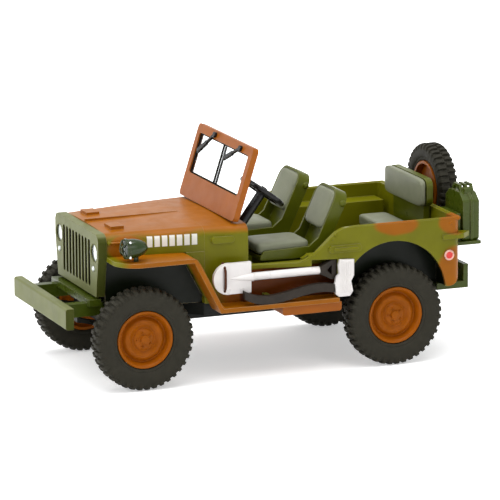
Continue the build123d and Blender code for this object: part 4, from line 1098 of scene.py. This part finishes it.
@dataclass
class BlackoutLamp:
    """Bullet-shaped masked driving lamp behind a wire guard with bright tips.

    Sizes are in millimetres, apart from the shares of the lamp's own length and radius.
    """

    ribs: int = 4
    wire: float = 0.13
    guard_gap: float = 0.1
    guard_start: float = 0.86
    guard_reach: float = 1.25
    hoop_share: float = 0.27
    tip: float = 0.24
    foot_radius: float = 0.45
    glass_share: float = 0.86
    glass_rise: float = 0.42
    section: tuple[tuple[float, float], ...] = (
        # Shares of radius and length, from the back to the rim and the glass
        (0, 0), (0.25, 0.02), (0.5, 0.10), (0.72, 0.25), (0.86, 0.42), (0.94, 0.62), (0.95, 0.80),
        (0.95, 0.86), (1.0, 0.88), (1.0, 0.985), (0.97, 1.0), (0.90, 1.0), (0.88, 0.97), (0, 0.97),
    )

    def build(self, maker: Maker) -> None:
        """Make the shell, the lens and the guard.

        Args:
            maker: Adds the pieces.
        """
        low, high = box_of("blackout_lamp", MM)
        lens_low, lens_high = box_of("blackout_lens", MM)
        middle = (lens_low + lens_high) / 2
        radius = (high[1] - low[1]) / 2
        length = high[0] - low[0]
        back = np.array([low[0], middle[1], middle[2]])
        shell = turned(np.array(self.section) * [radius, length] * MM, 48)
        stem = np.array([(0, 0, low[2]), (0, 0, low[2] + 0.4), (0, 0, middle[2] - 0.5)])
        stem += [back[0] + 0.5 * length, back[1], 0]
        foot = tube(stem * MM, self.foot_radius * MM, 16)
        maker.add(Surface.joined([shell.moved(back * MM, FACING_FORWARD), foot]),
                  "blackout_lamp_shell", "lamp_green", "olive_paint", stands_for=("blackout_lamp",))
        bulge = dome(self.glass_share * radius * MM, self.glass_rise * MM, 40)
        front = (back + [0.975 * length, 0, 0]) * MM
        maker.add(bulge.moved(front, FACING_FORWARD), "blackout_lamp_glass", "dark_lens",
                  "lamp_lens", stands_for=("blackout_lens",))
        self.build_guard(maker, back, radius, length)

    def build_guard(self, maker: Maker, back: np.ndarray, radius: float, length: float) -> None:
        """Make the wires that close in over the glass, their hoop and their bright tips.

        Args:
            maker: Adds the pieces.
            back: Middle of the lamp's back, in millimetres.
            radius: The lamp's radius, in millimetres.
            length: The lamp's length, in millimetres.
        """
        turn = np.linspace(0, math.pi / 2, 9)
        start = back[0] + self.guard_start * length
        reach = (radius + self.guard_gap) * (1 - 0.75 * np.sin(turn) ** 3)
        wires, tips = [], []
        for number in range(self.ribs):
            angle = 2 * math.pi / self.ribs * (number + 0.5)
            out = np.array([0, math.cos(angle), math.sin(angle)])
            path = out * reach[:, None] + back
            path[:, 0] = start + self.guard_reach * np.sin(turn)
            wires.append(tube(path * MM, self.wire * MM, 8))
            axes = np.stack([[1.0, 0, 0], np.cross(out, [1.0, 0, 0]), out])
            tips.append(dome(self.tip * MM, self.tip * MM, 10).moved(path[0] * MM, axes))
        centre = (start + self.guard_reach, back[1], back[2])
        hoop = circle(centre, self.hoop_share * radius, ACROSS, 33)
        wires.append(tube(hoop * MM, self.wire * MM, 8))
        maker.add(Surface.joined(wires), "blackout_lamp_guard", "lamp_green", "olive_paint")
        maker.add(Surface.joined(tips), "blackout_lamp_guard_tips", "chrome", "bright_steel")


@dataclass
class Tools:
    """Forged axe head with raised ribs, and the fold where the shovel's socket meets its blade."""

    ribs: int = 5
    rib_radius: float = 0.13 * MM
    rib_depth: float = 0.70
    fold_length: float = 4.6
    fold_radius: float = 0.72
    fold_start: float = 7.4
    fold_depth: float = 0.42

    def axe_head(self) -> Surface:
        """Make the head inside the CAD head's own box.

        Returns:
            The head with its ribs.
        """
        low, high = box_of("axe_head")
        middle, half = (low + high) / 2, (high - low) / 2
        outline = np.array([
            (-1.0, 0.95), (0.45, 1.0), (0.62, 0.7), (0.55, 0.25), (0.8, 0.1), (1.0, -0.3),
            (0.9, -0.85), (0.55, -1.0), (-0.55, -1.0), (-0.9, -0.75), (-0.7, -0.2), (-1.0, 0.1),
        ])
        depth = np.array([-1.0, 0.55, 0.85, 0.9])
        inset = np.array([1.0, 1.0, 0.94, 0.86])
        rings = outline[None] * inset[:, None, None]
        y = np.broadcast_to(depth[:, None], rings.shape[:2])
        grid = np.stack([rings[..., 0], y, rings[..., 1]], axis=-1) * half + middle
        back, front = (
            np.repeat(ring.mean(1, keepdims=True), len(outline), 1)
            for ring in (grid[:1], grid[-1:])
        )
        closed = np.concatenate([back, grid, front])
        parts = [Surface.from_grid(closed, wrap_columns=True)]
        rise = np.linspace(-0.8, 0.88, 12)[:, None]
        for x in np.linspace(-0.55, 0.35, self.ribs):
            depths = np.full_like(rise, self.rib_depth)
            line = np.concatenate([np.full_like(rise, x), depths, rise], axis=1)
            parts.append(tube(line * half + middle, self.rib_radius, 8))
        return Surface.joined(parts)

    def socket(self) -> Surface:
        """Make the tapering fold along the blade.

        Returns:
            The fold.
        """
        low, high = box_of("shovel", MM)
        run = np.linspace(0, 1, 14)
        radius = self.fold_radius * (1 - run) ** 0.8 + 0.04
        profile = np.stack([radius, run * self.fold_length], axis=1)
        closed = np.concatenate([[[0, 0]], profile, [[0, self.fold_length]]]) * MM
        spot = (high[0] - self.fold_start, high[1] - self.fold_depth, (low[2] + high[2]) / 2)
        return turned(closed, 20).moved(np.array(spot) * MM, FACING_FORWARD)

    def build(self, maker: Maker) -> None:
        """Make the axe head and the socket.

        Args:
            maker: Adds the pieces.
        """
        maker.add(self.axe_head(), "axe_head_forged", "silver", "tool_silver",
                  stands_for=("axe_head",), smooth_angle=25.0)
        maker.add(self.socket(), "shovel_socket_fold", "silver", "tool_silver")


@dataclass
class BodyTrim:
    """Rolled rims, rivets, latches, the shovel strap and lamp rings; sizes in millimetres."""

    bead: float = 0.36
    fender_bead: float = 0.27
    corner_radius: float = 3.95
    headlight_wire: float = 0.15
    reflector_radius: float = 0.78
    reflector_wire: float = 0.17
    rivet: tuple[float, float] = (0.26, 0.2)
    latch_wire: float = 0.24
    latch_loop: tuple[float, float] = (0.42, 0.28)
    latch_ends: tuple[float, float] = (26.9, 30.0)
    latch_z: float = 25.3
    strap_wire: float = 0.24
    strap_reach: float = 2.7
    rivets: tuple[tuple[float, float], ...] = (
        (9.0, 22.9), (7.4, 22.9), (-9.9, 24.6), (-9.2, 23.8), (-32.0, 24.9),
    )

    def rim_path(self) -> np.ndarray:
        """Follow the left door sill, the sweep and the top of the rear quarter.

        Returns:
            Points in millimetres, from the cowl to the rear corner.
        """
        sweep = np.linspace(0, 1, 25)
        eased = sweep * sweep * (3 - 2 * sweep)
        x = np.concatenate([
            np.linspace(4.8, -2.4, 12), -2.9 - sweep * 10.6, np.linspace(-14.0, -33.8, 24),
        ])
        z = np.concatenate([np.full(12, 19.9), 19.9 + 5.9 * eased, np.full(24, 25.8)])
        y = tub_half(x) - 0.42
        return np.stack([x, y, z - 0.16], axis=1)

    def rim(self) -> Surface:
        """Roll the beads of both sides and the rear panel.

        Returns:
            The beads as one surface.
        """
        left = self.rim_path()
        right = left * [1, -1, 1]
        rear = np.linspace(left[-1], right[-1], 9)
        return Surface.joined([tube(path * MM, self.bead * MM, 12) for path in (left, right, rear)])

    def fender_beads(self) -> Surface:
        """Roll each fender's outer edge: round the corner, down the skirt, along the sill.

        Returns:
            The beads of both sides as one surface.
        """
        low, high = box_of("left_fender", MM)
        edge, top = high[1] - 0.3, high[2] - 0.22
        turn = np.linspace(0, math.pi / 2, 12)
        corner = np.stack([
            high[0] - 4.2 + self.corner_radius * np.cos(turn),
            edge - self.corner_radius * (1 - np.sin(turn)),
            np.full(12, top),
        ], axis=1)
        shelf = np.array([(x, edge, top) for x in (24.0, 21.5, 19.0, 17.4)])
        knee = np.array([(16.5, edge, top - 0.22), (16.0, edge, top - 0.9)])
        skirt = np.linspace((15.4, edge, top - 2.0), (12.1, edge, low[2] + 1.5), 8)
        sill = np.linspace((11.2, edge, low[2] + 0.55), (low[0] + 0.4, edge, low[2] + 0.5), 12)
        left = np.concatenate([corner, shelf, knee, skirt, sill])
        return Surface.joined([
            tube(left * [1, side, 1] * MM, self.fender_bead * MM, 12) for side in (1, -1)
        ])

    def headlight_rings(self) -> Surface:
        """Make the rings round the headlights.

        Returns:
            Both rings as one surface.
        """
        low, high = box_of("headlight_lenses", MM)
        radius = (high[2] - low[2]) / 2
        x, z = high[0] + 0.16, (low[2] + high[2]) / 2
        rings = [
            circle((x, side * (high[1] - radius), z), radius + 0.02, ACROSS, 41) for side in (1, -1)
        ]
        return Surface.joined([tube(ring * MM, self.headlight_wire * MM) for ring in rings])

    def rivet_heads(self) -> Surface:
        """Set the rivets of both sides.

        Returns:
            All heads as one surface.
        """
        spots = np.array(self.rivets)
        half = tub_half(spots[:, 0])
        origins = np.concatenate([
            np.stack([spots[:, 0], side * half, spots[:, 1]], axis=1) for side in (1, -1)
        ]) * MM
        axes = np.concatenate([np.repeat(side_axes(side)[None], len(spots), 0) for side in (1, -1)])
        radius, height = self.rivet
        return dome(radius * MM, height * MM, 14).repeated(origins, axes)

    def latches(self) -> Surface:
        """Make the hood's side latches: a short bar with a loop at each end.

        Returns:
            Both latches as one surface.
        """
        parts = []
        radius, height = self.latch_loop
        for side in (1, -1):
            x = np.linspace(*self.latch_ends, 8)
            y = side * (13.2 - (x - 13.13) / 17.4 * 2.3 + 0.12)
            bar = np.stack([x, y, np.full(8, self.latch_z)], axis=1) * MM
            parts.append(tube(bar, self.latch_wire * MM))
            axes = np.repeat(side_axes(side)[None], 2, 0)
            parts.append(dome(radius * MM, height * MM, 14).repeated(bar[[0, -1]], axes))
        return Surface.joined(parts)

    def reflector_rings(self) -> Surface:
        """Make the pale rings round the rear reflectors.

        Returns:
            Both rings as one surface.
        """
        low, high = box_of("rear_reflectors", MM)
        x, z = (low[0] + high[0]) / 2, (low[2] + high[2]) / 2
        rings = [
            circle((x, side * (high[1] - 0.06), z), self.reflector_radius, ALONG, 41)
            for side in (1, -1)
        ]
        return Surface.joined([tube(ring * MM, self.reflector_wire * MM) for ring in rings])

    def strap(self) -> Surface:
        """Make the strap over the shovel's blade.

        Returns:
            The strap.
        """
        low, high = box_of("shovel", MM)
        rise = np.linspace(-1, 1, 17)
        path = np.stack([
            np.full(17, high[0] - 2.1),
            high[1] + 0.06 - 1.5 * np.abs(rise) ** 5,
            (low[2] + high[2]) / 2 + self.strap_reach * rise,
        ], axis=1)
        return tube(path * MM, self.strap_wire * MM, 8)

    def build(self, maker: Maker) -> None:
        """Make every trim piece of the body.

        Args:
            maker: Adds the pieces.
        """
        pieces = (
            (self.rim(), "tub_rolled_rim", "tub", "camouflage_paint"),
            (self.rivet_heads(), "tub_rivets", "tub", "camouflage_paint"),
            (self.fender_beads(), "fender_beads", "fender", "camouflage_paint"),
            (self.headlight_rings(), "headlight_rings", "grille", "grey_green_paint"),
            (self.latches(), "hood_latches", "hood", "camouflage_paint"),
            (self.reflector_rings(), "reflector_rings", "pale", "reflector_red"),
            (self.strap(), "shovel_strap", "strap", "brown_paint"),
        )
        for piece in pieces:
            maker.add(*piece)


@dataclass
class WindscreenSeal:
    """Dark seal round the inside of the windscreen's opening, on both faces of the pane."""

    lean: float = 17.8
    thick: float = 0.4 * MM
    seal: float = 0.13 * MM

    def build(self, maker: Maker) -> None:
        """Lay one loop of seal on each face.

        The pane's leaning height follows from its box: the box is the height times the
        cosine of the lean, plus the thickness times the sine.

        Args:
            maker: Adds the piece.
        """
        low, high = box_of("windscreen_pane")
        lean = math.radians(self.lean)
        height = (high[2] - low[2] - self.thick * math.sin(lean)) / math.cos(lean)
        half = np.array([(high[1] - low[1]) / 2 - self.seal, height / 2 - self.seal])
        corners = np.array([(1, 1), (-1, 1), (-1, -1), (1, -1), (1, 1)])
        steps = np.linspace(0, 1, 9)[:, None]
        up = np.array([-math.sin(lean), 0, math.cos(lean)])
        ahead = np.array([math.cos(lean), 0, math.sin(lean)])
        middle = (low + high) / 2
        runs = []
        for face in (1, -1):
            plane = middle + ahead * face * self.thick / 2
            for start, end in zip(corners[:-1], corners[1:]):
                flat = (start * (1 - steps) + end * steps) * half
                path = flat[:, :1] * np.array([[0, 1.0, 0]]) + flat[:, 1:] * up
                runs.append(tube(path + plane, self.seal, 8))
        maker.add(Surface.joined(runs), "windscreen_seal", "gasket", "steering_black")


@dataclass
class Cabin:
    """Seat-back knobs and dash gauges, in millimetres."""

    knob: tuple[float, float] = (0.62, 0.45)
    gauge_rise: float = 0.06
    gauge_wire: float = 0.08
    gauges: tuple[tuple[float, float], ...] = ((2.2, 0.62), (0.4, 0.42), (4.0, 0.42), (-1.2, 0.42))

    def knobs(self) -> Surface:
        """Set a knob on each side of both front seats' backs.

        Returns:
            All knobs as one surface.
        """
        radius, height = self.knob
        knobs = []
        for seat in ("driver", "passenger"):
            low, high = box_of(f"{seat}_seat_shell", MM)
            for side, y in ((1, high[1]), (-1, low[1])):
                spot = np.array([low[0] + 1.35, y - side * 0.05, high[2] - 2.6]) * MM
                knobs.append(dome(radius * MM, height * MM, 18).moved(spot, side_axes(side)))
        return Surface.joined(knobs)

    def build(self, maker: Maker) -> None:
        """Make the knobs, the gauges and their rings.

        Args:
            maker: Adds the pieces.
        """
        maker.add(self.knobs(), "seat_back_knobs", "olive", "olive_paint")
        low, high = box_of("dash", MM)
        faces, rings = [], []
        for y, radius in self.gauges:
            spot = np.array([low[0] - 0.02, y, (low[2] + high[2]) / 2])
            face = dome(radius * MM, self.gauge_rise * MM, 24)
            faces.append(face.moved(spot * MM, FACING_BACK))
            rings.append(tube(circle(spot, radius, ACROSS, 29) * MM, self.gauge_wire * MM, 8))
        maker.add(Surface.joined(faces), "dash_gauges", "gloss_black", "steering_black")
        maker.add(Surface.joined(rings), "dash_gauge_rings", "pale", "olive_paint")


@dataclass
class PhotoCamera:
    """Long-lens camera at the photograph's viewing angle, for a square picture."""

    azimuth: float = 21.72
    elevation: float = 12.64
    roll: float = -0.31
    distance: float = 736.19 * MM
    target: tuple[float, float, float] = (-0.65 * MM, 0.0, 19.19 * MM)
    focal_share: float = 4123.75 / 500
    sensor: float = 36.0

    def build(self) -> None:
        """Create the camera and make it the scene's own."""
        azimuth, elevation = math.radians(self.azimuth), math.radians(self.elevation)
        level = math.cos(elevation)
        back = Vector((math.sin(azimuth) * level, math.cos(azimuth) * level, math.sin(elevation)))
        right = Vector((-math.cos(azimuth), math.sin(azimuth), 0))
        rise = back.cross(right)
        turn = math.radians(self.roll)
        image_x = right * math.cos(turn) + rise * math.sin(turn)
        image_y = rise * math.cos(turn) - right * math.sin(turn)
        place = Vector(self.target) + back * self.distance
        lens = bpy.data.cameras.new("photo_camera")
        lens.sensor_width = self.sensor
        lens.lens = self.focal_share * self.sensor
        lens.clip_start = 0.01
        lens.clip_end = 10.0
        camera = bpy.data.objects.new("photo_camera", lens)
        camera.matrix_world = Matrix((
            (image_x.x, image_y.x, back.x, place.x),
            (image_x.y, image_y.y, back.y, place.y),
            (image_x.z, image_y.z, back.z, place.z),
            (0, 0, 0, 1),
        ))
        bpy.context.scene.collection.objects.link(camera)
        bpy.context.scene.camera = camera


@dataclass(frozen=True)
class SoftBox:
    """One square studio lamp that faces the model."""

    name: str
    place: tuple[float, float, float]
    size: float
    power: float
    aim: tuple[float, float, float] = (0.0, 0.0, 15 * MM)

    def build(self) -> None:
        """Create the lamp, pointed at the middle of the model."""
        lamp = bpy.data.lights.new(self.name, "AREA")
        lamp.shape = "SQUARE"
        lamp.size = self.size
        lamp.energy = self.power
        item = bpy.data.objects.new(self.name, lamp)
        item.location = self.place
        aim = Vector(self.aim) - Vector(self.place)
        item.rotation_euler = aim.to_track_quat("-Z", "Y").to_euler()
        bpy.context.scene.collection.objects.link(item)


@dataclass
class Studio:
    """White floor, a world that is bright behind the model, and soft lamps."""

    floor_half: float = 6.0
    behind_level: float = 1.0
    before_level: float = 0.12
    above_level: float = 0.6
    near_lift: float = 0.42
    far_lift: float = 1.0
    near_edge: float = 55 * MM
    far_edge: float = 160 * MM
    lamps: tuple[SoftBox, ...] = (
        SoftBox("top_softbox", (0.05, 0.10, 0.75), 0.7, 5.0),
        SoftBox("front_softbox", (0.85, 0.15, 0.40), 0.5, 3.0),
        SoftBox("side_softbox", (-0.25, 0.85, 0.50), 0.5, 1.7),
    )

    def build(self) -> None:
        """Create the world, the floor and the lamps."""
        self.build_world()
        self.build_floor()
        for lamp in self.lamps:
            lamp.build()
        bpy.context.scene.view_settings.view_transform = "Standard"

    def build_world(self) -> None:
        """Make the world: white where it is seen as background, else a soft gradient.

        The light falls from bright behind the model to dim on the viewer's side, and the
        zenith has a level of its own.
        """
        world = bpy.data.worlds.new("studio_world")
        world.use_nodes = True
        bpy.context.scene.world = world
        graph = Graph(world.node_tree)
        place = graph.coordinates("Generated")
        azimuth = math.radians(PhotoCamera.azimuth)
        away = (-math.sin(azimuth), -math.cos(azimuth), 0.0)
        behind = graph.vector_math("DOT_PRODUCT", place, away, output="Value")
        sides = graph.map_range(behind, -0.5, 0.6, self.before_level, self.behind_level, True)
        zenith = graph.map_range(graph.split(place)["Z"], 0.45, 0.95, 0.0, 1.0, True)
        level = graph.mix(zenith, sides, self.above_level, "FLOAT")
        light, white = (
            graph.wired("ShaderNodeBackground", "Background",
                        {"Color": PURE_WHITE, "Strength": strength})
            for strength in (level, 1.0)
        )
        inputs = {"Fac": graph.background_rays(), 1: light, 2: white}
        blend = graph.wired("ShaderNodeMixShader", "Shader", inputs)
        graph.link(blend, graph.add("ShaderNodeOutputWorld").inputs["Surface"])

    def build_floor(self) -> None:
        """Large white floor that keeps the model's soft shadow.

        What is added for background rays rises with the distance from the model, so that the
        shadow stays and the floor ends in the white of the world.
        """
        reach = self.floor_half
        side = np.linspace(-reach, reach, 3)
        grid = np.stack([*np.meshgrid(side, side, indexing="ij"), np.zeros((3, 3))], axis=-1)
        floor = Surface.from_grid(grid).mesh_object("studio_floor")
        shading = Shading("floor_white")
        place = shading.coordinates("Object")
        away = shading.vector_math("LENGTH", place, output="Value")
        lift = shading.map_range(
            away, self.near_edge, self.far_edge, self.near_lift, self.far_lift, smooth=True
        )
        shading.feed_shader({
            "Base Color": shading.drift(place, (0.94, 0.94, 0.94, 1.0), 0.004, 40.0),
            "Roughness": 0.9,
            "Specular IOR Level": 0.1,
            "Emission Color": PURE_WHITE,
            "Emission Strength": shading.math("MULTIPLY", shading.background_rays(), lift),
        })
        floor.data.materials.append(shading.material)


def dress_nodes(palette: Palette) -> None:
    """Give each CAD node that stays in view its finish.

    Args:
        palette: Holds the finishes.
    """
    for finish, nodes in NODE_FINISHES.items():
        for node in nodes:
            palette.dress(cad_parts[node], finish)
    log.info("dressed %d nodes", sum(map(len, NODE_FINISHES.values())))


def main() -> None:
    """Build the camera, the studio and every piece in order."""
    logging.basicConfig(level=logging.INFO, format="%(name)s: %(message)s")
    PhotoCamera().build()
    Studio().build()
    palette = Palette()
    maker = Maker(palette)
    dress_nodes(palette)
    Wheels().build(maker)
    SeatPads().build(maker)
    BlackoutLamp().build(maker)
    Tools().build(maker)
    BodyTrim().build(maker)
    WindscreenSeal().build(maker)
    Cabin().build(maker)
    log.info("made %d pieces", maker.count)


if __name__ == "__main__":
    main()
